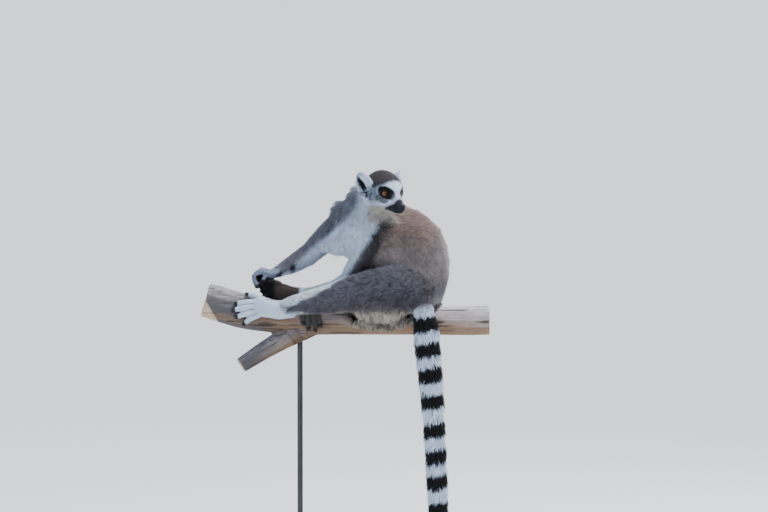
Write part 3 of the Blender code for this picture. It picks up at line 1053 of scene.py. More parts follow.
class Markings:
    """Says what colour the coat or the skin is at any place of the animal.

    Places on the body are in mm from the seat. Each ramp names the two between which a colour fades in.
    """

    ring_tops = (-12.6, -59.4, -104.4, -153, -205, -254, -300, -349, -397, -446, -494, -540)
    ring_height, ring_fade = 27.0, 1.5
    below_tail = -700
    tail_lean = 0.16
    gland, gland_size = (-131.5, 69.5), (4.4, 8.5)  # along x and z on the right forearm
    smooth = (Part.HEAD, Part.EAR, Part.HAND, Part.FOOT)  # where the edges of the markings are fine
    ragged = (Part.CHEST, Part.UPPER_ARM, Part.NECK)

    def __init__(self, bones: Skeleton, palette: Palette) -> None:
        """Keeps the landmarks and the colours.

        Args:
            bones: Where everything is.
            palette: The colours to use.
        """
        self.bones, self.palette = bones, palette

    def colours(self, where: Array, normals: Array, nodes: Array) -> Array:
        """Finds the colour at each point.

        Args:
            where: The points, in metres.
            normals: The body's outward direction at each.
            nodes: For each point, the number in FLESH of the solid it belongs to.

        Returns:
            A colour for each point.
        """
        rough = np.full(len(FLESH), 2.2)
        rough[numbers_of(*self.smooth)] = 0.6
        rough[numbers_of(*self.ragged)] = 4.0
        wander = np.stack([drift(where, 3.5 * MM, Seed.JAG + k) for k in range(3)], 1)
        jagged = where + wander * rough[nodes][:, None] * MM
        made = np.zeros_like(where)
        for number, node in enumerate(FLESH):
            rows = nodes == number
            if rows.any():
                made[rows] = self.of_part(node, jagged[rows], normals[rows])
        mottle = 1 + 0.10 * drift(where, 14 * MM, Seed.BROAD_MOTTLE)
        mottle = mottle + 0.08 * drift(where, 5 * MM, Seed.FINE_MOTTLE)
        return np.clip(made * mottle[:, None], 0, 1)

    def of_part(self, node: str, where: Array, normals: Array) -> Array:
        """The colours on one solid's share of the body.

        Args:
            node: The solid's name.
            where: Points on it, in metres.
            normals: The outward direction at each.

        Returns:
            A colour for each point.
        """
        part = part_of(node)
        p = (where - [0, 0, self.bones.seat]) / MM
        if part in (Part.HEAD, Part.EYE, Part.NOSE):
            return self.head(where, normals)
        if part is Part.EAR:
            return self.ear(where, normals)
        if part is Part.TAIL:
            return self.tail(p)
        if part is Part.NECK:
            return self.slit(self.trunk(p, normals), where, normals)
        if part in (Part.CHEST, Part.RUMP):
            return self.trunk(p, normals)
        if part in (Part.UPPER_ARM, Part.FOREARM):
            return self.arm(p, normals, side_of(node))
        if part in (Part.THIGH, Part.SHIN):
            return self.leg(p, normals, side_of(node))
        return self.paw(p, normals, node)

    def collar_line(self, p: Array) -> Array:
        """How far points lie on the grey side of the line from the nape down the right arm, in mm."""
        slope = (p[:, 0] + 20) * -0.70 + (p[:, 2] - 180) * 0.714
        return np.minimum(slope, -16 - p[:, 0])

    def shoulder_line(self, p: Array) -> Array:
        """How far points lie behind the dark band down the left shoulder, grey fur darkened with painted
        shade, in mm.
        """
        return (p[:, 0] - 34) * 0.868 - (p[:, 2] - 157) * 0.496

    def trunk(self, p: Array, normals: Array) -> Array:
        """Brown back, dark shoulder band and white chest; the band's grey fur and the low flank are darkened
        with painted shade.

        Args:
            p: Points on neck, chest and rump.
            normals: The outward direction at each.

        Returns:
            A colour for each point.
        """
        c = self.palette
        x, z = p[:, 0], p[:, 2]
        nx, ny = normals[:, 0], normals[:, 1]
        near = ramp(ny, 0.30, -0.05)
        made = np.tile(c.back, (len(p), 1))
        made = blend(made, c.flank, ramp(z, 150, 80) * ramp(ny, 0.2, -0.6))
        made = blend(made, c.edge, ramp(x, 112, 150) * ramp(z, 40, 80) * 0.8)
        # Painted shade low on the flank, where it lies between the left arm and the thigh.
        made = blend(made, c.low_flank_shade, ramp(z, 100, 55) * ramp(x, 82, 40) * ramp(ny, 0.1, -0.4))
        parting = np.abs((x - 62) * 0.86 - (z - 110) * 0.5)
        made = blend(made, c.parting, 0.3 * ramp(parting, 3, 0.5) * ramp(z, 85, 95) * ramp(z, 140, 128))
        made = blend(made, c.hip, ramp(z, 70, 35) * ramp(x, 60, 100) * 0.9)
        made = blend(made, c.edge, ramp(z, 36, 10) * ramp(x, 100, 125))
        band, collar = self.shoulder_line(p), self.collar_line(p)
        # The dark band down the left shoulder: grey fur darkened with painted shade, on the near side only.
        made = blend(made, c.band, ramp(ny, 0.0, -0.4) * ramp(band, 24, 0))
        made = blend(made, c.white, ramp(band, -7, -12) * near)
        made = blend(made, c.shoulder, ramp(collar, -4, 3) * ramp(x, 0, -14))
        made = blend(made, c.nape, ramp(collar, -1, 5) * ramp(z, 120, 165) * ramp(x, 0, -14))
        speckle = ramp(drift(p * MM, 3.2 * MM, Seed.NECK_SPECKLE), -0.1, 0.5)
        speckle = speckle * ramp(collar, -38, -4) * ramp(z, 145, 172)
        made = blend(made, c.grey, speckle * 0.75 * near)
        made = blend(made, c.lilac, 0.35 * near * ramp(z, 130, 165) * ramp(x, 50, 20) * ramp(band, -7, -12))
        far = ramp(ny, -0.1, 0.5) * ramp(x, 32, -22)
        made = blend(made, c.shoulder, far * 0.8)
        throat = ramp(z, 151, 162) * ramp(x, 0, 9) * ramp(x, 64, 52)
        made = blend(made, c.cream, 0.95 * throat * near)
        belly = ramp(nx, -0.25, -0.6) * ramp(z, 118, 98) * ramp(x, 45, 25) * ramp(ny, -0.7, -0.3)
        return blend(made, c.white, belly)

    def arm(self, p: Array, normals: Array, side: str) -> Array:
        """Grey outside and above, white inside; on the left arm, the side towards the camera is darkened with
        painted shade.

        Args:
            p: Points on upper arm and forearm.
            normals: The outward direction at each.
            side: Which arm.

        Returns:
            A colour for each point.
        """
        c = self.palette
        x, z = p[:, 0], p[:, 2]
        nx, ny, nz = normals.T
        made = np.tile(c.limb, (len(p), 1))
        if side == "right":
            made = blend(made, c.shoulder, ramp(x, -75, -45))
            made = blend(made, c.hand, ramp(x, -146, -164) * 0.85)
            inside = ramp(self.collar_line(p), 7, -8) * ramp(ny, 0.45, 0.0)
            inside = np.maximum(inside, ramp(nz - 0.5 * nx, -0.45, -0.75))
            made = blend(made, c.white, inside)
            made = blend(made, c.lilac, 0.5 * inside * ramp(x, -95, -78) * ramp(x, -38, -55))
            gland = np.hypot(*((v - g) / s for v, g, s in zip((x, z), self.gland, self.gland_size)))
            return blend(made, c.pad, ramp(gland, 1.2, 0.8) * ramp(ny, -0.1, -0.4))
        facing = ramp(ny, 0.2, -0.2)
        # Painted shade: the left arm's near side, between chest and thigh, is darkened as in shadow.
        made = blend(made, c.low_flank_shade, ramp(z, 30, 60) * facing)
        # The shoulder band goes on down the left arm: grey fur darkened with painted shade.
        made = blend(made, c.band, ramp(z, 85, 120) * facing)
        front = ramp(self.shoulder_line(p), -7, -13)
        return blend(made, c.white, front * ramp(ny * 0.6 + nx, 0.5, 0.1))

    def leg(self, p: Array, normals: Array, side: str) -> Array:
        """Grizzled grey outside, white inside and along the top of the shin, cream below, with painted light
        on the shin's top and at the thigh's end.

        Args:
            p: Points on thigh and shin.
            normals: The outward direction at each.
            side: Which leg.

        Returns:
            A colour for each point.
        """
        c = self.palette
        x, z = p[:, 0], p[:, 2]
        inward = normals[:, 1] * (1 if side == "left" else -1)
        made = np.tile(c.limb, (len(p), 1))
        made = blend(made, c.low_limb, ramp(z, 40, 10) * 0.75)
        made = blend(made, c.hip, ramp((x - 70) + (z - 80) * 0.40, -34, 20))
        # The thigh's end is painted paler, like the rump it runs into, and also painted light to cancel the
        # shadow of the crease between them.
        made = blend(made, c.edge, 0.85 * ramp(x, 96, 124))
        # The white of the inner leg and the shin's top, painted brighter where it faces up, as lit from
        # above.
        top = normals[:, 2] + 1.3 * np.maximum(inward, 0) - (0.72 + (x + 68) * 0.0110)
        made = blend(made, c.sunlit_white, ramp(top, -0.14, 0.10) * ramp(x, 40, 0))
        made = blend(made, c.white, ramp(x, -147, -156))
        made = blend(made, c.white, ramp(z, -3, -7) * ramp(x, -96, -120))
        under = ramp(z, 0, -8) * ramp(x, -62, -46)
        flecks = ramp(drift(p * MM * [1, 1, 0.3], 1.8 * MM, Seed.SHIN_FLECKS), -0.1, 0.25)
        flecks = flecks * ramp(np.abs(x + 146), 16, 10)
        made = blend(made, c.temple, 0.85 * flecks * ramp(z, 14, 6) * ramp(z, -12, -6))
        return blend(made, c.cream, under)

    def paw(self, p: Array, normals: Array, node: str) -> Array:
        """White or grey above, black pads below and at the tips, and painted shade between the digits; the
        left hand is painted dark with the shade under the shin.

        Args:
            p: Points on a hand or a foot.
            normals: The outward direction at each.
            node: Which hand or foot.

        Returns:
            A colour for each point.
        """
        c = self.palette
        x, y, z = p.T
        # The left hand takes a dark grey of painted shade, as it lies under the shin.
        made = np.tile({"hand_right": c.hand, "hand_left": c.hand_in_shade}.get(node, c.white), (len(p), 1))
        digits = [Chain(np.array(digit, float)) for digit in DIGITS[node]]
        away = np.sort([np.linalg.norm(p - digit.read(p)[2], axis=1) for digit in digits], axis=0)
        # Painted shade between the digits, black on the shaded left hand.
        shade = c.black if node == "hand_left" else c.temple
        made = blend(made, shade, 0.8 * ramp(away[1] - away[0], 2.2, 0.4) * ramp(away[1], 9, 7))
        palm = ramp(normals @ unit(np.array(BACKS[node])), -0.15, -0.45)
        if node == "foot_right":
            palm *= ramp(x, -116, -124)
            made = blend(made, c.sole, palm)
            rim = np.maximum(ramp(x, -158, -170), ramp(z - (x + 130) * -0.45, 36, 42))
            return blend(made, c.black, palm * rim)
        tip = np.min([np.linalg.norm(p - digit.points[-1], axis=1) for digit in digits], axis=0)
        made = blend(made, c.pad, np.maximum(palm, ramp(tip, 7.5, 5.0)))
        if node == "hand_right":
            # A black patch in the gap between thumb and fingers: the dark palm, with painted shadow in the
            # gap.
            hollow = np.hypot((x + 189) / 7.5, (z - 54) / 11)
            made = blend(made, c.black, ramp(hollow, 1.1, 0.9) * ramp(y, 3, 7))
            # The palm's dark heel, with painted shadow under the thumb.
            heel_shadow = 0.85 * ramp(z - (x + 165) * -0.12, 56, 51)
            made = blend(made, c.pad, heel_shadow * ramp(x, -182, -176))
        return made

    def tail(self, p: Array) -> Array:
        """Grey at the root, then black and white rings to a black tip.

        Args:
            p: Points on the tail.

        Returns:
            A colour for each point.
        """
        c, fade = self.palette, self.ring_fade
        height = p[:, 2] - (p[:, 0] - 116) * self.tail_lean
        made = np.tile(c.white, (len(p), 1))
        for top in self.ring_tops:
            low = self.below_tail if top == self.ring_tops[-1] else top - self.ring_height
            inside = ramp(height, top + fade, top - fade) * ramp(height, low - fade, low + fade)
            made = blend(made, c.black, inside)
        root = 0.45 + 0.4 * drift(p * MM, 4 * MM, Seed.TAIL_ROOT)
        made = blend(made, c.grey, ramp(height, -14, -4) * root)
        return blend(made, c.hip, ramp(height, -2, 9))

    def head(self, where: Array, normals: Array) -> Array:
        """White face and brow, dark crown and nape, black round the eyes and on the muzzle.

        Args:
            where: Points on the head, in metres.
            normals: The outward direction at each.

        Returns:
            A colour for each point.
        """
        c = self.palette
        h = self.bones.on_head(where)
        ahead, aside, above = h[:, 0], np.abs(h[:, 1]), h[:, 2]
        made = np.tile(c.white, (len(h), 1))
        speckle = ramp(drift(where, 2.6 * MM, Seed.FACE_SPECKLE), -0.3, 0.3)
        temple = ramp(np.hypot((ahead - 5) * 1.15, above * 0.70), 17, 8) * ramp(aside, 18, 24)
        made = blend(made, c.temple, temple * (0.62 + 0.3 * speckle))
        made = blend(made, c.temple, 0.25 * speckle * ramp(above, 6, -12) * ramp(ahead, 18, 6))
        crown = above - (27.0 - 0.0195 * aside**2) + 0.9 * np.maximum(-ahead - 12, 0)
        made = blend(made, c.grey, 0.5 * ramp(crown, -4, 0))
        made = blend(made, c.crown, ramp(crown, -1.5, 1.5))
        made = blend(made, c.nape, ramp(ahead, -24, -29) * ramp(above, -34, -26) * ramp(aside, 40, 32))
        made = blend(made, c.cream, ramp(above, -24, -29) * ramp(ahead, 50, 34) * 0.9)
        for side in SIDES:
            made = self.round_eye(made, where, side, speckle)
        edge = np.minimum(23 + 1.9 * (above + 23.6), 47.0)
        snout = 0.75 * ramp(ahead - edge, -11, -2) * ramp(ahead, 18, 26)
        made = blend(made, c.lilac, snout * ramp(aside, 3, 7))
        made = blend(made, c.muzzle, ramp(ahead - edge, -1.5, 2.0))
        return self.slit(made, where, normals)

    def round_eye(self, made: Array, where: Array, side: str, speckle: Array) -> Array:
        """Lays the black patch and the brown below it round one eye.

        Args:
            made: The colours so far.
            where: Points on the head, in metres.
            side: Which eye.
            speckle: A value from 0 to 1 for each point, which breaks up the brown.

        Returns:
            The new colours.
        """
        way, gaze = 1 if side == "left" else -1, self.bones.gaze(side, 30.0)
        inner = unit(np.cross(gaze, self.bones.head_axes[2])) * way
        rise = unit(np.cross(inner, gaze)) * way
        off = (where - self.bones.eyes[side]) / MM
        across, upward, outside = off @ inner, off @ rise, ramp(off @ gaze, -14, -8)
        lean = upward - 2 + 0.18 * (across - 4)
        patch = np.hypot((across - 4) / 16.5, lean / 11.2)
        below = np.hypot((across + 2) / 11.0, (upward + 9) / 9.5)
        made = blend(made, self.palette.crown, ramp(below, 1.3, 0.85) * outside * (0.8 + 0.15 * speckle))
        return blend(made, self.palette.black, ramp(patch, 1.06, 0.92) * outside)

    def slit(self, made: Array, where: Array, normals: Array) -> Array:
        """Paints shade into the slits of the ears, which run down onto the head: black inside, with a soft
        grey edge.

        Args:
            made: The colours so far.
            where: The points, in metres.
            normals: The outward direction at each.

        Returns:
            The new colours.
        """
        for side in SIDES:
            hollow = self.bones.ear_hollow(where, normals, side)
            # Painted shade in the ear's opening: a grey edge, then black inside.
            made = blend(made, self.palette.grey, 0.4 * ramp(hollow, 1.8, 1.2))
            made = blend(made, self.palette.black, ramp(hollow, 1.15, 0.85))
        return made

    def ear(self, where: Array, normals: Array) -> Array:
        """White outside and along the rim, with painted shade in a long slit."""
        return self.slit(np.tile(self.palette.white, (len(where), 1)), where, normals)


# ---- skin


class Pelt:
    """The skin under the coat, with what the coat needs to know at each of its vertices."""

    voxel = 1.3 * MM
    swell = 0.55 * MM
    steps = 4
    skin_faces = 190_000
    joined = (Part.HEAD, Part.NECK, Part.CHEST, Part.RUMP, Part.THIGH, Part.UPPER_ARM)
    face_depth, muzzle_depth, muzzle_from = 1.3, 0.8, 34  # of the coat, and ahead of the head's middle
    lid_radius, lid_thickness, socket_radius = 8.9, 0.5, 6.6
    slit_depth, mouth_depth = 3.2, 1.1

    def __init__(self, bones: Skeleton, markings: Markings) -> None:
        """Keeps the landmarks and the markings.

        Args:
            bones: Where everything is.
            markings: What colour everything is.
        """
        self.bones, self.markings = bones, markings
        self.obj = self.fused()
        self.surface = Surface.of(self.obj)
        self.nodes = self.nearest_solids()
        self.shrink()
        self.sculpt_face()
        self.normals = self.surface.normals()
        self.spacing = self.mean_edges()
        self.flow = self.lie_of_hair()

    def fused(self) -> Object:
        """Joins swollen copies of the flesh into one closed mesh.

        Returns:
            The new object.
        """
        points, faces, count = [], [], 0
        for node in FLESH:
            shape = Surface.of(frame["nodes"][node]).welded()
            points.append(shape.points + shape.normals() * self.swell)
            faces.append(shape.faces + count)
            count += len(shape.points)
        obj = new_mesh("skin", np.vstack(points), np.vstack(faces))
        close_up(obj, self.voxel)
        return obj

    def nearest_solids(self) -> Array:
        """Finds which solid each vertex belongs to.

        Returns:
            For each vertex, the number in FLESH of the nearest solid.
        """
        points, faces, owner = [], [], []
        for number, node in enumerate(FLESH):
            mesh = frame["nodes"][node].data
            start = len(points)
            points += [v.co.copy() for v in mesh.vertices]
            faces += [[start + v for v in p.vertices] for p in mesh.polygons]
            owner += [number] * len(mesh.polygons)
        tree = BVHTree.FromPolygons(points, faces)
        return np.array([owner[tree.find_nearest(Vector(p))[2]] for p in self.surface.points])

    def mean_edges(self) -> Array:
        """Measures how far apart the vertices lie.

        Returns:
            The mean length of the edges at each vertex, in metres.
        """
        first, second = self.surface.edges.T
        lengths, count = np.linalg.norm(self.surface.spans(), axis=1), len(self.surface.points)
        total = np.bincount(first, lengths, count) + np.bincount(second, lengths, count)
        return total / np.maximum(np.bincount(self.surface.edges.ravel(), minlength=count), 1)

    def per_part(self, read: Callable[[Fur], float]) -> Array:
        """A value of each vertex's part, by a function of the part's Fur."""
        return np.array([read(FUR[part_of(node)]) for node in FLESH], float)[self.nodes]

    def fill_creases(self, rings: int = 17, rounds: int = 70) -> None:
        """Fills the hollows where one part of the body runs into the next, so that no crease shows.

        Args:
            rings: How many rings of vertices on each side of a meeting are moved.
            rounds: How many times the hollows are drawn outwards.
        """
        surface = self.surface
        inside = np.isin(self.nodes, numbers_of(*self.joined))
        first, second = surface.edges.T
        parted = (self.nodes[first] != self.nodes[second]) & inside[first] & inside[second]
        weight = np.zeros(len(surface.points))
        weight[first[parted]] = weight[second[parted]] = 1.0
        for _ in range(rings):
            grown = weight.copy()
            np.maximum.at(grown, first, weight[second] - 1 / rings)
            np.maximum.at(grown, second, weight[first] - 1 / rings)
            weight = grown
        weight = ramp(weight, 0.0, 0.6) * inside
        chosen = weight > 0
        index = np.cumsum(chosen) - 1
        part = Surface(
            surface.points[chosen],
            index[surface.faces[chosen[surface.faces].all(1)]],
            index[surface.edges[chosen[surface.edges].all(1)]],
        )
        weight = weight[chosen]
        for n in range(rounds):
            if n % 4 == 0:
                outward = part.normals()
            pull = dot(part.relaxed(part.points, 1.0, 1) - part.points, outward)
            part.points = part.points + outward * (np.maximum(pull, 0) * weight)[:, None]
        surface.points[chosen] = part.points

    def clearance(self, reach: float = 26 * MM) -> Array:
        """How far each vertex lies from the part of the body that it faces.

        Args:
            reach: How far to look.

        Returns:
            The distances, at most reach.
        """
        points, normals = self.surface.points, self.surface.normals()
        tree = BVHTree.FromPolygons(points.tolist(), self.surface.faces.tolist())
        made = np.full(len(points), reach)
        for n, (start, way) in enumerate(zip(points + normals * 0.5 * MM, normals)):
            away = tree.ray_cast(Vector(start), Vector(way), reach)[3]
            made[n] = reach if away is None else away
        return made

    def shrink(self) -> None:
        """Smooths the surface and draws it inside the solids by the depth of the coat."""
        surface = self.surface
        rounds = surface.relaxed(self.per_part(lambda fur: fur.smoothing), 0.5, 4)
        for step in range(12):
            surface.points = surface.relaxed(surface.points, 0.55 * np.clip(rounds - step, 0, 1), 1)
        self.fill_creases()
        depth = self.per_part(lambda fur: fur.depth)
        ahead = self.bones.on_head(surface.points)[:, 0]
        face = np.isin(self.nodes, numbers_of(Part.HEAD))
        shallow = ramp(ahead, 2, 30)
        depth = np.where(face, depth * (1 - shallow) + self.face_depth * shallow, depth)
        depth = np.where(face & (ahead > self.muzzle_from), self.muzzle_depth, depth)
        depth = depth * (0.2 + 0.8 * ramp(self.clearance(), 0, 22 * MM))
        self.depth = surface.relaxed(depth, 0.6, 30) * MM
        gentle = np.clip(self.depth / MM / 12, 0, 0.5)
        for _ in range(self.steps):
            surface.points = surface.points - surface.normals() * (self.depth / self.steps)[:, None]
            surface.points = surface.relaxed(surface.points, gentle, 2)

    def sculpt_face(self) -> None:
        """Opens the lids over the eyes, and cuts the mouth and the slits of the ears."""
        points = self.surface.points
        for side in SIDES:
            self.open_lids(points, side)
        h = self.bones.on_head(points)
        crease = ramp(np.abs(h[:, 2] + 21.5 + 0.10 * (58 - h[:, 0])), 1.6, 0.0) * ramp(h[:, 0], 24, 32)
        outward = self.surface.normals()
        points -= outward * (crease * ramp(h[:, 0], 63, 59) * self.mouth_depth * MM)[:, None]
        for side in SIDES:
            hollow = self.bones.ear_hollow(points, outward, side)
            points -= outward * (ramp(hollow, 1.1, 0.5) * self.slit_depth * MM)[:, None]

    def open_lids(self, points: Array, side: str) -> None:
        """Sinks the skin before an eye and lays the lids over the eyeball's edge.

        Args:
            points: The skin's vertices, which it moves.
            side: Which eye.
        """
        eye, gaze = self.bones.eyes[side], self.bones.gaze(side)
        off = (points - eye) / MM
        reach = np.linalg.norm(off, axis=1)
        along, up = off @ gaze, off @ self.bones.head_axes[2]
        angle = np.degrees(np.arccos(np.clip(along / np.maximum(reach, 1e-6), -1, 1)))
        opening = 41 - 5 * np.abs(up) / 6
        near = (reach < 15) & (along > 0)
        lid = self.lid_radius + self.lid_thickness * ramp(angle, opening, opening + 14)
        wall = ramp(angle, opening - 2.5, opening + 1.5)
        target = self.socket_radius * (1 - wall) + np.maximum(reach, lid) * wall
        fade = ramp(reach, 15, 11) * ramp(angle, 95, 70)
        moved = reach + (target - reach) * fade
        points[near] = eye + (off * (moved / np.maximum(reach, 1e-6))[:, None])[near] * MM

    def lie_of_hair(self) -> Array:
        """Lays the hair along the bones, evens it out and lets it wander a little.

        Returns:
            The direction in which it lies at each vertex.
        """
        points, normals, flow = self.surface.points, self.normals, np.zeros_like(self.surface.points)
        for number in np.unique(self.nodes):
            rows = self.nodes == number
            flow[rows] = self.combed(FLESH[number], points[rows])
        for _ in range(3):
            flow = unit(flow - normals * dot(flow, normals)[:, None])
            flow = self.surface.relaxed(flow, 0.6, 8)
        flow = flow + np.stack([drift(points, 16 * MM, Seed.LIE + k) for k in range(3)], 1) * 0.28
        return unit(flow - normals * dot(flow, normals)[:, None])

    def combed(self, node: str, where: Array) -> Array:
        """The lie of the hair on one solid's share of the body.

        Args:
            node: The solid's name.
            where: Points on it, in metres.

        Returns:
            A direction for each point.
        """
        bones, part, chain = self.bones, part_of(node), self.bones.chain_of(node)
        along, z, seat = chain.read(where)[1], where[:, 2], bones.seat
        if part in (Part.HEAD, Part.EYE, Part.NOSE):
            return unit(unit(where - bones.from_head((66, 0, -14))) + 0.3 * -bones.head_axes[0])
        if part is Part.EAR:
            return unit(unit(where - bones.from_head((-12, 27 if side_of(node) == "left" else -27, -4))))
        if part in (Part.HAND, Part.FOOT):
            return unit(unit(where - chain.points[2]) + 0.6 * along)
        droop = np.array([0, 0, -0.25])
        if part in (Part.CHEST, Part.RUMP):
            swept = np.array([0.9, 0, 0.3]) * ramp(z, seat + 110 * MM, seat + 165 * MM)[:, None]
            droop = swept * ramp(where[:, 0], 20 * MM, 50 * MM)[:, None] + droop
        if node == "thigh_left":
            fringe = ramp(z, seat + 14 * MM, seat - 4 * MM)
            along = along * (1 - fringe)[:, None] + np.array([0.05, 0, -1.0]) * fringe[:, None] * 3
        return unit(along) + droop

    def make(self) -> Object:
        """Gives the skin its shape, its colours and its finish.

        Returns:
            The finished skin.
        """
        surface, obj = self.surface, self.obj
        surface.write(obj)
        fine = self.per_part(lambda fur: fur.depth) < 4
        group = obj.vertex_groups.new(name="coarse")
        group.add(np.nonzero(~fine)[0].tolist(), 1.0, "REPLACE")
        group.add(np.nonzero(fine)[0].tolist(), 0.12, "REPLACE")
        simplify = obj.modifiers.new("simplify", "DECIMATE")
        simplify.ratio = min(1.0, self.skin_faces / len(surface.faces))
        simplify.vertex_group = "coarse"
        apply_modifiers(obj)
        obj.vertex_groups.clear()
        tree, kept = point_tree(surface.points), Surface.of(obj)
        source = np.array([tree.find(p)[1] for p in kept.points])
        colours = self.markings.colours(kept.points, self.normals[source], self.nodes[source])
        paint(obj, "tint", colours * 0.8)
        obj.data.polygons.foreach_set("use_smooth", np.ones(len(obj.data.polygons), bool))
        finish_piece(obj, FurFinish("short_hair_and_skin", bump=0.0004).make(), "pale_fur", *FLESH_SHOWN)
        return obj


# ---- coat


@dataclass
class Tufts:
    """The spikes of one piece of coat, a row for each: places and sizes in metres, tints from root to tip."""

    root: Array
    middle: Array | None  # a point on the bend, or None for straight spikes
    tip: Array
    normal: Array
    width: Array
    tints: tuple[Array, Array, Array]
    place: Array  # on the unwrap of the skin
    sunk = 0.8  # the depth of the roots in the skin, in mm

    def build(self, name: str, patch: float) -> Object:
        """Builds closed, flattened spikes, straight or with one bend.

        Args:
            name: The piece's name.
            patch: The size of a tuft on the unwrap.

        Returns:
            The new object.
        """
        growth = unit(self.tip - self.root)
        across = unit(np.cross(self.normal, growth))
        over = np.cross(growth, across)
        below = self.root - self.normal * self.sunk * MM
        stages = [(below, 1.0, self.tints[0])]
        if self.middle is not None:
            stages = [(below, 0.8, self.tints[0]), (self.middle, 1.0, self.tints[1])]
        rings, colours, spots = [], [], []
        for stage, (centre, size, tint) in enumerate(stages):
            half = across * (self.width * size / 2)[:, None]
            rise = over * (self.width * size * 0.30)[:, None]
            rings += [centre + half - rise * 0.4, centre + rise, centre - half - rise * 0.4]
            colours += [tint] * 3
            spots += [(stage / len(stages), k / 2) for k in range(3)]
        last = 3 * len(stages)
        first = (last + 1) * np.arange(len(self.root))
        faces = (np.array(self.spike(last))[None] + first[:, None, None]).reshape(-1, 3)
        obj = new_mesh(name, np.stack([*rings, self.tip], 1).reshape(-1, 3), faces)
        paint(obj, "tint", np.stack([*colours, self.tints[2]], 1).reshape(-1, 3))
        own = np.stack([across, over, -across] * len(stages) + [over], 1)
        soft = unit(0.66 * self.normal[:, None] + 0.34 * own + 0.25 * growth[:, None]).reshape(-1, 3)
        obj.data.normals_split_custom_set_from_vertices(soft.tolist())
        flat = (self.place[:, None] + (np.array([*spots, (1.0, 0.5)]) - 0.5)[None] * patch).reshape(-1, 2)
        layer = obj.data.uv_layers.new(name="OFBake")
        layer.data.foreach_set("uv", flat[faces.ravel()].astype(np.float32).ravel())
        return obj

    def spike(self, last: int) -> list[tuple[int, int, int]]:
        """Numbers the triangles of one spike.

        Args:
            last: The number of its tip, after three vertices for each ring.

        Returns:
            Three vertex numbers for each triangle.
        """
        faces = [(0, 2, 1)]
        for k in range(3):
            m = (k + 1) % 3
            for low in range(0, last - 3, 3):
                faces += [(low + k, low + m, low + 3 + m), (low + k, low + 3 + m, low + 3 + k)]
            faces.append((last - 3 + k, last - 3 + m, last))
        return faces


@dataclass(frozen=True)
class CoatPiece:
    """One piece of the coat: the parts it covers, its slot, and how many tufts it has."""

    name: str
    parts: tuple[Part, ...]
    slot: str
    tufts: int
    bent: bool = False


COAT = (
    CoatPiece("coat_head", (Part.HEAD, Part.EAR), "head_fur", 49_300),
    CoatPiece("coat_chest", (Part.NECK, Part.CHEST), "back_fur", 49_300),
    CoatPiece("coat_back", (Part.RUMP,), "back_fur", 49_300),
    CoatPiece("coat_arms", (Part.UPPER_ARM, Part.FOREARM), "limb_fur", 47_000),
    CoatPiece("coat_thighs", (Part.THIGH,), "limb_fur", 49_300),
    CoatPiece("coat_shins", (Part.SHIN,), "limb_fur", 31_000),
    CoatPiece("coat_paws", (Part.HAND, Part.FOOT), "pale_fur", 42_000),
    CoatPiece("coat_tail", (Part.TAIL,), "tail_fur", 19_400, True),
)


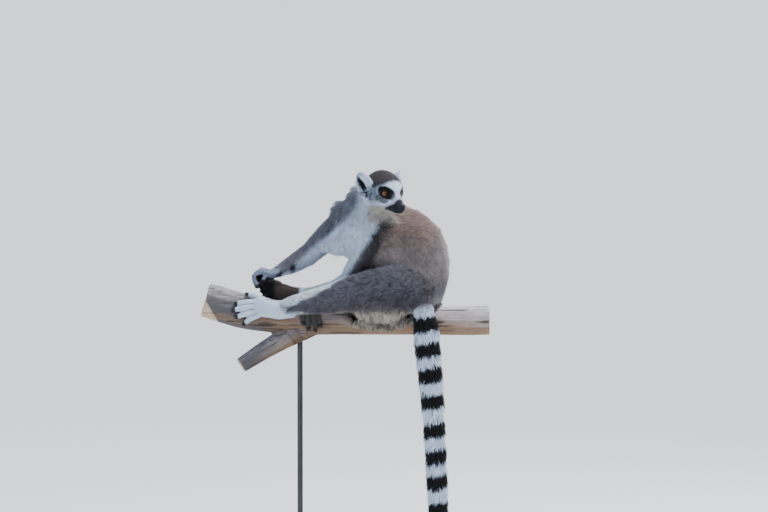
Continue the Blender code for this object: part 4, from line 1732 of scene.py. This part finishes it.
class Coat:
    """Tufts of solid mesh that stand on the skin and lie along the body."""

    patch = 0.003  # of the unwrap
    seed = 20
    nudge = 0.6  # how far roots stray from their vertices, in edges
    swing = 0.22  # how far tufts turn aside
    lengths, heights = (0.75, 1.15), (0.55, 1.04)  # of the part's length and of the coat's depth
    steepest = 0.85  # the height of the most upright tufts, of their length
    bend = (0.40, 0.66)  # along a tuft and up it
    mixed, reaches = 1.3, (0.2, 1.0)  # tufts with more blur take their tint from anywhere in this reach
    lock = 1 / 14  # of all tufts, those that lead one

    def __init__(self, pelt: Pelt, bones: Skeleton, markings: Markings) -> None:
        """Keeps what the tufts grow on.

        Args:
            pelt: The skin.
            bones: Where everything is.
            markings: What colour everything is.
        """
        self.pelt, self.bones, self.markings = pelt, bones, markings

    def roots(self, piece: CoatPiece, rng: np.random.Generator) -> Array:
        """Chooses the vertices of the skin that carry a tuft of this piece.

        Args:
            piece: Which piece.
            rng: The source of random numbers.

        Returns:
            Vertex numbers, some of them more than once.
        """
        rows = np.nonzero(np.isin(self.pelt.nodes, numbers_of(*piece.parts)))[0]
        if Part.HEAD in piece.parts:
            rows = rows[~self.bare_face(self.pelt.surface.points[rows], self.pelt.normals[rows])]
        area = self.pelt.spacing[rows] ** 2
        share = piece.tufts * area / area.sum()
        return np.repeat(rows, np.floor(share + rng.random(len(rows))).astype(int))

    def bare_face(self, where: Array, normals: Array) -> Array:
        """Finds what is bare: the eyes' openings, the ears' slits and the nose leather.

        Args:
            where: Points on the head and the ears, in metres.
            normals: The outward direction at each.

        Returns:
            True for each bare point.
        """
        bare = np.zeros(len(where), bool)
        for side in SIDES:
            off = where - self.bones.eyes[side]
            reach = np.linalg.norm(off, axis=1)
            bare |= (reach < 9.6 * MM) | ((reach < 10.5 * MM) & (off @ self.bones.gaze(side) > 6 * MM))
            bare |= self.bones.ear_hollow(where, normals, side) < 1.0
        return bare | (np.linalg.norm(where - self.bones.nose, axis=1) < 7.2 * MM)

    def make(self, piece: CoatPiece) -> Object:
        """Grows one piece of the coat.

        Args:
            piece: Which piece.

        Returns:
            The finished piece.
        """
        rng, pelt = np.random.default_rng(self.seed + COAT.index(piece)), self.pelt
        rows = self.roots(piece, rng)
        n, nodes = len(rows), pelt.nodes[rows]
        normal, flow = pelt.normals[rows], pelt.flow[rows]
        side = np.cross(normal, flow)
        nudge = flow * rng.uniform(-self.nudge, self.nudge, (n, 1))
        nudge = nudge + side * rng.uniform(-self.nudge, self.nudge, (n, 1))
        root = pelt.surface.points[rows] + nudge * pelt.spacing[rows][:, None]
        flow = unit(flow + side * rng.normal(0, self.swing, (n, 1)))
        table = np.array([FUR[part_of(node)].tuft() for node in FLESH])
        length, width, clump, grizzle, blur = table[nodes].T
        length, width, depth = self.adjusted(root, nodes, length * MM, width * MM, pelt.depth[rows])
        length *= rng.uniform(*self.lengths, n)
        height = np.minimum(depth * rng.uniform(*self.heights, n), self.steepest * length)
        run = np.sqrt(length**2 - height**2)
        middle = root + flow * (self.bend[0] * run)[:, None] + normal * (self.bend[1] * height)[:, None]
        tip = root + flow * run[:, None] + normal * height[:, None]
        tip = self.clumped(root, tip, clump, rng)
        reach = np.where(blur > self.mixed, rng.uniform(*self.reaches, n), 0.75)[:, None]
        seen = root + (tip - root) * reach + rng.normal(0, 1, (n, 3)) * blur[:, None] * MM
        tint = self.markings.colours(seen, normal, nodes)
        tints = self.varied(tint, root, clump, grizzle, rng)
        middle, place = middle if piece.bent else None, self.unwrap(rows, root)
        obj = Tufts(root, middle, tip, normal, width, tints, place).build(piece.name, self.patch)
        roughness = 0.7 if Part.TAIL in piece.parts else 0.78
        finish_piece(obj, FurFinish(piece.name + "_hair", roughness=roughness).make(), piece.slot)
        return obj

    def varied(
        self,
        tint: Array,
        root: Array,
        clump: Array,
        grizzle: Array,
        rng: np.random.Generator,
    ) -> tuple[Array, Array, Array]:
        """Lets the tufts' colours differ, from one to the next and along each, with the roots darkened by
        darker underfur and painted shade deep in the coat.

        Args:
            tint: The markings' colour for each tuft.
            root: Where each stands.
            clump: How strongly it leans to its lock.
            grizzle: How often it has a dark tip.
            rng: The source of random numbers.

        Returns:
            The colours at the roots, the bends and the tips.
        """
        curl = 1.1 - grizzle * ramp(drift(root, 2.3 * MM, Seed.CURLS), -0.1, 0.4)
        lock = 1 + 0.35 * clump * drift(root, 5 * MM, Seed.LOCKS)
        tint = tint * (rng.uniform(0.90, 1.10, (len(root), 1)) * (curl * lock)[:, None])
        tipped = rng.random(len(root)) < grizzle * ramp(tint.mean(1), 0.45, 0.28)
        tips = np.clip(tint * np.where(tipped, 0.4, 1.15)[:, None], 0, 1)
        # The roots are painted darker: the underfur is darker, and painted shade stands for the coat's depth,
        # the more where tufts clump.
        return tint * (0.78 - 0.5 * clump)[:, None], tint, tips

    def adjusted(
        self, root: Array, nodes: Array, length: Array, width: Array, depth: Array
    ) -> tuple[Array, Array, Array]:
        """Shortens the hair of face and tail root, and lengthens ruff, ear rims and fringe.

        Args:
            root: Where each tuft stands.
            nodes: The number in FLESH of each tuft's solid.
            length: Each tuft's length, in metres.
            width: Its width.
            depth: The depth of the coat there.

        Returns:
            The new lengths, widths and depths.
        """
        h = self.bones.on_head(root)
        below = (self.bones.seat - root[:, 2]) / MM
        head = nodes == FLESH.index("head")
        face = np.where(head, ramp(h[:, 0], -6, 26), 0)
        length, width = length * (1 - 0.55 * face), width * (1 - 0.35 * face)
        ruff = np.where(head, ramp(h[:, 0], 0, -22) * ramp(h[:, 2], 4, -12), 0)
        length = length * (1 + 0.6 * ruff)
        rim = np.isin(nodes, numbers_of(Part.EAR)) * ramp(h[:, 0], -14, -20)
        length, depth = length * (1 + 0.8 * rim), depth + 3.0 * MM * rim
        stub = np.where(nodes == FLESH.index("tail_1"), ramp(below, 22, 6), 0)
        length, depth = length * (1 - 0.4 * stub), depth * (1 - 0.5 * stub)
        fringe = ramp(root[:, 2], self.bones.seat + 6 * MM, self.bones.seat - 8 * MM)
        fringe = np.where(nodes == FLESH.index("thigh_left"), fringe, 0)
        return length * (1 + 0.6 * fringe), width, depth

    def clumped(self, root: Array, tip: Array, clump: Array, rng: np.random.Generator) -> Array:
        """Draws the tips of neighbouring tufts together.

        Args:
            root: Where each tuft stands.
            tip: Where its tip is.
            clump: How strongly it leans to its lock, from 0 to 1.
            rng: The source of random numbers.

        Returns:
            The new tips.
        """
        guides = np.nonzero(rng.random(len(root)) < self.lock)[0]
        tree = point_tree(root[guides])
        found = [tree.find(p)[1:] for p in root]
        guide = guides[np.array([f[0] for f in found])]
        near = ramp(np.array([f[1] for f in found]), 8 * MM, 4 * MM) * clump
        drawn = tip[guide] + (root - root[guide]) * 0.25
        return tip + (drawn - tip) * near[:, None]

    def unwrap(self, rows: Array, root: Array) -> Array:
        """Where each root lies on an unwrap of the skin: along its bones and round them.

        Args:
            rows: The skin's vertices that carry the tufts.
            root: Where each tuft stands.

        Returns:
            Two numbers from 0 to 1 for each tuft.
        """
        nodes = self.pelt.nodes[rows]
        present = np.unique(nodes)
        made = np.zeros((len(rows), 2))
        for column, number in enumerate(present):
            mine = nodes == number
            if FLESH[number] == "head":
                h = self.bones.on_head(root[mine]) - [6, 0, 0]
                turn = np.arctan2(h[:, 1], h[:, 2])
                along = np.arccos(np.clip(h[:, 0] / np.linalg.norm(h, axis=1), -1, 1)) / math.pi
            else:
                s, direction, foot = self.bones.chain_of(FLESH[number]).read(root[mine])
                across = unit(np.cross(direction, [0.3, 0.9, 0.2]))
                off = root[mine] - foot
                turn = np.arctan2(dot(off, np.cross(direction, across)), dot(off, across))
                along = (s - s.min()) / max(np.ptp(s), 1e-6)
            made[mine, 0] = (column + 0.02 + 0.96 * along) / len(present)
            made[mine, 1] = 0.01 + 0.98 * (turn / math.tau + 0.5)
        return made


# ---- eyes, nose, nails


@dataclass
class Eyes:
    """Two eyeballs with bulged corneas."""

    radius: float = 8.0 * MM
    segments: int = 48
    rings: int = 32
    bulge: float = 0.35 * MM
    cornea: float = 36.0

    def make(self, bones: Skeleton) -> None:
        """Models one eye looking up, and places a copy in each socket.

        Args:
            bones: Where the eyes are and where they look.
        """
        model = new_sphere(self.segments, self.rings, self.radius)
        points = Surface.of(model).points
        pick(model, points[:, 2] > self.radius * math.cos(math.radians(self.cornea)))
        bpy.ops.transform.translate(value=(0, 0, self.bulge))
        bpy.ops.mesh.select_more()
        bpy.ops.mesh.vertices_smooth(factor=0.5, repeat=2)
        leave_edit()
        points = Surface.of(model).points
        angle = np.degrees(np.arccos(np.clip(points[:, 2] / np.linalg.norm(points, axis=1), -1, 1)))
        turn = np.arctan2(points[:, 1], points[:, 0])
        store(model, "off_axis", angle)
        store(model, "spokes", np.column_stack([np.cos(turn) * 2, np.sin(turn) * 2, angle / 40]))
        material = IrisFinish().make()
        for side in SIDES:
            eye = copy_of(model)
            look = Vector(bones.gaze(side)).to_track_quat("Z", "Y").to_matrix().to_4x4()
            eye.matrix_world = Matrix.Translation(bones.eyes[side]) @ look
            settle(eye, f"eyeball_{side}")
            soften(eye, 60)
            finish_piece(eye, material, "eye", f"eye_{side}")
        bpy.data.objects.remove(model)


@dataclass
class NoseLeather:
    """The bare tip of the nose, with its two nostrils and the groove between them, in mm."""

    size: Triple = (5.4, 6.4, 5.2)
    segments: int = 24
    rings: int = 16
    nostril: Triple = (4.2, 2.9, -0.6)
    nostril_size: float = 1.7
    nostril_rim: float = 0.45
    nostril_depth: Triple = (-1.0, 0.4, -0.2)
    chin: float = 1.0
    groove: float = 0.5

    def make(self, bones: Skeleton) -> None:
        """Models the leather in its own frame and places it on the muzzle.

        Args:
            bones: Where the nose is.
        """
        nose = new_sphere(self.segments, self.rings, 1.0)
        nose.scale = [s * MM for s in self.size]
        settle(nose, "nose_leather")
        points = Surface.of(nose).points / MM
        pick(nose, (points[:, 0] > 0) & (points[:, 2] < -1.2))
        bpy.ops.transform.translate(value=(-self.chin * MM, 0, 0))
        leave_edit()
        for way in (1, -1):
            self.pierce(nose, np.array([1, way, 1]))
        points = Surface.of(nose).points / MM
        pick(nose, (np.abs(points[:, 1]) < 0.5) & (points[:, 0] > 1.5) & (points[:, 2] < 2.5))
        bpy.ops.transform.translate(value=(-self.groove * MM, 0, 0))
        leave_edit()
        smooth = nose.modifiers.new("smooth", "SUBSURF")
        smooth.levels = smooth.render_levels = 2
        apply_modifiers(nose)
        axes = Matrix(bones.head_axes.tolist()).transposed().to_4x4()
        nose.matrix_world = Matrix.Translation(bones.nose) @ axes
        settle(nose, "nose_leather")
        soften(nose, 60)
        finish_piece(nose, LeatherFinish("nose_leather").make(), "nose", "nose")

    def pierce(self, nose: Object, way: Array) -> None:
        """Sinks one nostril.

        Args:
            nose: The leather.
            way: Turns the left nostril's numbers into this one's.
        """
        centres = np.array([f.center for f in nose.data.polygons]) / MM
        pick(nose, np.linalg.norm(centres - self.nostril * way, axis=1) < self.nostril_size, "FACE")
        bpy.ops.mesh.inset(thickness=self.nostril_rim * MM)
        sunk = tuple(self.nostril_depth * way * MM)
        bpy.ops.mesh.extrude_region_move(TRANSFORM_OT_translate={"value": sunk})
        leave_edit()


@dataclass
class Nails:
    """A small dark nail on the back of every digit's tip, in mm."""

    size: Triple = (3.4, 2.2, 1.0)
    point: Triple = (1.15, 0.6, 0.8)  # how its front is scaled
    segments: int = 16
    rings: int = 10
    set_back: float = 1.0
    above: float = 14.0  # where the search for the skin starts, over the bone
    reach: float = 20.0  # and how far it goes
    bone_to_back: float = 3.5

    def make(self, pelt: Pelt) -> None:
        """Models one nail and sets a copy on each digit, then joins them.

        Args:
            pelt: The skin that they sit on.
        """
        model = new_sphere(self.segments, self.rings, 1.0)
        pick(model, Surface.of(model).points[:, 0] > 0.4)
        bpy.ops.transform.resize(value=self.point, center_override=(0, 0, 0))
        leave_edit()
        tree = BVHTree.FromPolygons(pelt.surface.points.tolist(), pelt.surface.faces.tolist())
        nails = []
        for node, digits in DIGITS.items():
            for _, joint, tip in digits:
                nails.append(copy_of(model))
                place = self.place(Vector(joint), Vector(tip), Vector(BACKS[node]), pelt.bones.seat, tree)
                nails[-1].matrix_world = place
        bpy.data.objects.remove(model)
        bpy.ops.object.select_all(action="DESELECT")
        for nail in nails:
            nail.select_set(True)
        bpy.context.view_layer.objects.active = nails[0]
        bpy.ops.object.join()
        settle(nails[0], "nails")
        soften(nails[0], 60)
        finish_piece(nails[0], LeatherFinish("dark_nails", roughness=0.3).make(), "nose")

    def place(self, joint: Vector, tip: Vector, back: Vector, seat: float, tree: BVHTree) -> Matrix:
        """Finds where a nail lies.

        Args:
            joint: The digit's last joint, in mm from the seat.
            tip: Its tip.
            back: The way in which the paw's back faces.
            seat: The height of the seat, in metres.
            tree: The skin.

        Returns:
            The nail's place, turn and size.
        """
        along = (tip - joint).normalized()
        back = (back - along * back.dot(along)).normalized()
        start = tip * MM + Vector((0, 0, seat)) - along * self.set_back * MM
        hit = tree.ray_cast(start + back * self.above * MM, -back, self.reach * MM)[0]
        hit = start + back * self.bone_to_back * MM if hit is None else hit
        turn = Matrix((along, back.cross(along), back)).transposed().to_4x4()
        return Matrix.Translation(hit) @ turn @ Matrix.Diagonal((*self.size, 1 / MM)) * MM


# ---- branch and stand


@dataclass
class Branch:
    """The cut length of branch, remade with grain, drying cracks, knots and sawn ends."""

    voxel: float = 1.7 * MM
    rounds: int = 6
    top: Triple = (0.46, 0.42, 0.45)
    side: Triple = (0.36, 0.29, 0.27)
    under: Triple = (0.26, 0.165, 0.105)
    left_end: Triple = (0.13, 0.12, 0.135)
    patch: Triple = (0.34, 0.20, 0.12)
    crack: Triple = (0.055, 0.040, 0.034)
    sawn: Triple = (0.50, 0.38, 0.26)
    axis: float = -0.022  # from the seat, in metres
    knots: tuple = (  # places from the axis in metres, and sizes in mm
        (-0.205, -0.022, 0.020, 15),
        (0.185, -0.024, -0.012, 13),
        (-0.11, 0.026, 0.004, 12),
        (0.02, 0.02, -0.046, 14),
    )
    fork_root: Triple = (-84, 0, -26)  # in mm from the seat
    fork_way: Triple = (-142.0, -5.0, -78.0)
    fork_length: float = 161 * MM
    fork_radius: float = 21 * MM
    cut: tuple[float, float] = (4 * MM, 14 * MM)  # the left cut's middle, from the box's end and the seat
    cut_radius: float = 31.5 * MM

    def make(self, seat: float) -> None:
        """Builds the branch over the solid's own shape.

        Args:
            seat: The height of the seat, in metres.
        """
        shape = Surface.of(frame["nodes"]["perch"]).welded()
        obj = new_mesh("branch", shape.points, shape.faces)
        close_up(obj, self.voxel)
        surface = Surface.of(obj)
        surface.points = surface.relaxed(surface.points, 0.5, self.rounds)
        normals = surface.normals()
        along, ends = self.along(surface.points, seat)
        fine = along * [0.10, 1, 1]
        relief = 0.55 * drift(along * [0.16, 1, 1], 9 * MM, Seed.WOOD_GRAIN)
        relief = relief + 0.30 * drift(fine, 3.6 * MM, Seed.WOOD_FINE_GRAIN)
        groove = -1.3 * ramp(drift(fine, 7 * MM, Seed.WOOD_CRACKS), 0.42, 0.62)
        knots = np.zeros(len(along))
        for x, y, z, size in self.knots:
            away = np.linalg.norm(surface.points - [x, y, seat + self.axis + z], axis=1) / MM
            knots += 1.3 * ramp(away, size, size * 0.4) - 1.6 * ramp(away, size * 0.42, 0)
        height = (relief + groove) * (1 - ends) + knots * (1 - ends) - 0.5
        surface.points = surface.points + normals * (height * MM)[:, None]
        surface.write(obj)
        paint(obj, "tint", self.tint(surface.points, normals, along, ends, groove))
        store(obj, "along", along)
        soften(obj, 50)
        finish_piece(obj, WoodFinish().make(), "bark", "perch")

    def along(self, points: Array, seat: float) -> tuple[Array, Array]:
        """Coordinates that run along the wood, and where its sawn ends are.

        Args:
            points: The branch's vertices.
            seat: The height of the seat, in metres.

        Returns:
            Three coordinates for each vertex, the first along the grain, and 1 on a sawn end.
        """
        low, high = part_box("perch")
        fork = unit(np.array(self.fork_way))
        off = points - (np.array(self.fork_root) * MM + [0, 0, seat])
        reach = off @ fork
        aside = np.linalg.norm(off - reach[:, None] * fork, axis=1)
        on_fork = ramp(aside, self.fork_radius + 5 * MM, self.fork_radius) * ramp(reach, 38 * MM, 62 * MM)
        across = unit(np.cross(fork, [0, 1.0, 0]))
        turned = np.stack([reach + 0.3, off[:, 1], off @ across], 1)
        along = points * (1 - on_fork)[:, None] + turned * on_fork[:, None]
        right = ramp(points[:, 0], high.x - 2.2 * MM, high.x - 1.0 * MM)
        away = np.linalg.norm(points - [low.x + self.cut[0], 0, seat + self.cut[1]], axis=1)
        left = ramp(away, self.cut_radius + 2 * MM, self.cut_radius)
        left = left * ramp(points[:, 0], low.x + 13 * MM, low.x + 11 * MM)
        stub = ramp(reach, self.fork_length - 3 * MM, self.fork_length)
        return along, np.maximum(np.maximum(right, left), stub)

    def tint(self, points: Array, normals: Array, along: Array, ends: Array, groove: Array) -> Array:
        """Silver-grey above, warm brown below, darker to the left, pale where it is sawn: the pale top is
        weathering with painted light from above, and the dark underside is brown wood with painted shade.

        Args:
            points: The branch's vertices.
            normals: The outward direction at each.
            along: Coordinates along the grain.
            ends: 1 on a sawn end.
            groove: How deep each vertex lies in a crack, in mm and negative.

        Returns:
            A colour for each vertex.
        """
        streak = drift(along * [0.12, 1, 1], 6 * MM, Seed.WOOD_STREAKS) * 0.28
        height, x = normals[:, 2] + streak, points[:, 0]
        made = np.tile(self.side, (len(points), 1))
        # The top is painted paler, weathering with painted light from above; the underside darker, brown wood
        # with painted shade.
        made = blend(made, self.top, ramp(height, 0.1, 0.75))
        made = blend(made, self.under, ramp(height, -0.05, -0.6))
        dark = 0.9 * ramp(x + 0.02 * streak, -0.15, -0.21)
        made = blend(made, self.left_end, dark * ramp(height, 1.1, 0.2))
        patches = ramp(drift(along * [0.35, 1, 1], 22 * MM, Seed.WOOD_PATCHES), 0.15, 0.55)
        made = blend(made, self.patch, patches * 0.5 * ramp(height, 0.7, 0.0))
        made = made * (1 - 0.38 * ramp(x, 0.05, -0.09))[:, None]
        made = blend(made, self.crack, ramp(groove, -0.25, -1.0) * 0.85)
        return blend(made, self.sawn, ends)


@dataclass
class Stand:
    """A lacquered base with two turned rods that carry the branch."""

    corner: float = 26.0 * MM
    edge: float = 3.0 * MM
    radius: float = 5.0 * MM
    collar: float = 12.0 * MM
    collar_height: float = 14.0 * MM

    def make(self) -> None:
        """Builds the base and the rods where their solids are."""
        self.base()
        metal = MetalFinish("satin_black_rods", colour=(0.035, 0.035, 0.038), roughness=0.35).make()
        for side in SIDES:
            self.rod(f"stand_rod_{side}", metal)

    def base(self) -> None:
        """A slab with rounded corners and a softened rim."""
        low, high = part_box("stand_base")
        bpy.ops.object.select_all(action="DESELECT")
        bpy.ops.mesh.primitive_cube_add(size=1.0, location=(low + high) / 2)
        slab = bpy.context.object
        slab.scale = high - low
        settle(slab, "base_slab")
        pick(slab, np.abs(unit(Surface.of(slab).spans())[:, 2]) > 0.9, "EDGE")
        bpy.ops.mesh.bevel(offset=self.corner, segments=12, affect="EDGES")
        leave_edit()
        pick(slab, np.abs(Surface.of(slab).spans()[:, 2]) < 1e-5, "EDGE")
        bpy.ops.mesh.bevel(offset=self.edge, segments=4, affect="EDGES")
        leave_edit()
        soften(slab, 30)
        finish_piece(slab, MetalFinish("black_lacquer", roughness=0.3).make(), "base", "stand_base")

    def rod(self, node: str, material: Material) -> None:
        """A rod with a collar at its foot.

        Args:
            node: The solid that it stands for.
            material: What it is made of.
        """
        low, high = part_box(node)
        middle = (low + high) / 2
        bpy.ops.object.select_all(action="DESELECT")
        size = {"vertices": 40, "radius": self.radius, "depth": high.z - low.z}
        bpy.ops.mesh.primitive_cylinder_add(location=middle, **size)
        rod = bpy.context.object
        settle(rod, node.replace("stand_", "steel_"))
        pick(rod, Surface.of(rod).points[:, 2] < middle.z)
        bpy.ops.transform.translate(value=(0, 0, self.collar_height))
        leave_edit()
        pick(rod, np.array([f.normal.z < -0.9 for f in rod.data.polygons]), "FACE")
        bpy.ops.mesh.extrude_region_move()
        grow, foot = self.collar / self.radius, (middle.x, middle.y, low.z + self.collar_height)
        bpy.ops.transform.resize(value=(grow, grow, 1), center_override=foot)
        bpy.ops.mesh.extrude_region_move(TRANSFORM_OT_translate={"value": (0, 0, -self.collar_height)})
        leave_edit()
        bevel = rod.modifiers.new("edges", "BEVEL")
        bevel.width, bevel.segments, bevel.angle_limit = 1.2 * MM, 3, math.radians(50)
        apply_modifiers(rod)
        soften(rod, 35)
        finish_piece(rod, material, "rod", node)


# ---- studio


@dataclass(frozen=True)
class Lamp:
    """A soft square light: where it hangs and its width in metres, its power in watts and its colour."""

    name: str
    place: Triple
    size: float
    power: float
    colour: Triple


@dataclass
class Studio:
    """A pale floor, soft lights and the camera."""

    width: float = 1.3824
    distance: float = 8.0
    lift: float = 3.6
    sensor: float = 36.0
    target: Triple = (0.0324, 0.0, 0.7436)
    floor_colour: Triple = (0.72, 0.72, 0.71)
    floor_size: float = 900.0
    sun_strength: float = 5.2
    sun_angle: float = 24.0
    sun_colour: Triple = (1.0, 0.97, 0.94)
    sun_way: Triple = (-0.42, 0.10, -0.90)
    sky_colour: Triple = (0.50, 0.72, 1.0)
    sky_strength: float = 0.72
    lamps: tuple[Lamp, ...] = (
        Lamp("key", (-1.9, -2.6, 2.0), 1.8, 44, (0.84, 0.92, 1.0)),
        Lamp("rim", (1.6, 2.2, 2.4), 1.6, 80, (1.0, 0.97, 0.95)),
    )

    def make(self) -> None:
        """Builds the floor, the lights and the camera."""
        self.floor()
        self.sun()
        for lamp in self.lamps:
            self.light(lamp)
        self.sky()
        self.camera()

    def floor(self) -> None:
        """A wide pale plane."""
        bpy.ops.object.select_all(action="DESELECT")
        bpy.ops.mesh.primitive_plane_add(size=self.floor_size, location=(0, 0, 0))
        floor = bpy.context.object
        floor.name = "floor"
        sheet = Sheet("pale_floor", Roughness=0.9)
        floor.data.materials.append(sheet.finish(sheet.plain(self.floor_colour)))

    def sun(self) -> None:
        """A wide soft sun, high on the right."""
        sun = linked("soft_sun", bpy.data.lights.new("soft_sun", "SUN"))
        sun.data.energy, sun.data.color = self.sun_strength, self.sun_colour
        sun.data.angle = math.radians(self.sun_angle)
        sun.rotation_euler = Vector(self.sun_way).to_track_quat("-Z", "Y").to_euler()

    def light(self, lamp: Lamp) -> None:
        """Hangs a lamp that points at the animal.

        Args:
            lamp: Which lamp.
        """
        light = linked(lamp.name, bpy.data.lights.new(lamp.name, "AREA"))
        light.data.size, light.data.energy, light.data.color = lamp.size, lamp.power, lamp.colour
        light.location = lamp.place
        way = Vector(self.target) - Vector(lamp.place)
        light.rotation_euler = way.to_track_quat("-Z", "Y").to_euler()

    def sky(self) -> None:
        """An even sky."""
        world = bpy.data.worlds.new("studio_sky")
        bpy.context.scene.world = world
        world.use_nodes = True
        sky = world.node_tree.nodes["Background"]
        sky.inputs["Color"].default_value = (*self.sky_colour, 1)
        sky.inputs["Strength"].default_value = self.sky_strength

    def camera(self) -> None:
        """A long lens in front, which looks a little down on the animal."""
        angle = math.radians(self.lift)
        camera = linked("camera", bpy.data.cameras.new("camera"))
        camera.data.sensor_width = self.sensor
        camera.data.lens = self.sensor * self.distance / self.width
        camera.data.clip_end = 2000.0
        back = Vector((0, -math.cos(angle), math.sin(angle))) * self.distance
        camera.location = Vector(self.target) + back
        camera.rotation_euler = (math.radians(90) - angle, 0, 0)
        bpy.context.scene.camera = camera


def main() -> None:
    """Builds everything in order."""
    logging.basicConfig(level=logging.INFO, format="%(message)s")
    Studio().make()
    bones = Skeleton()
    markings = Markings(bones, Palette())
    pelt = Pelt(bones, markings)
    pelt.make()
    coat = Coat(pelt, bones, markings)
    for piece in COAT:
        coat.make(piece)
    Eyes().make(bones)
    NoseLeather().make(bones)
    Nails().make(pelt)
    Branch().make(bones.seat)
    Stand().make()


if __name__ == "__main__":
    main()
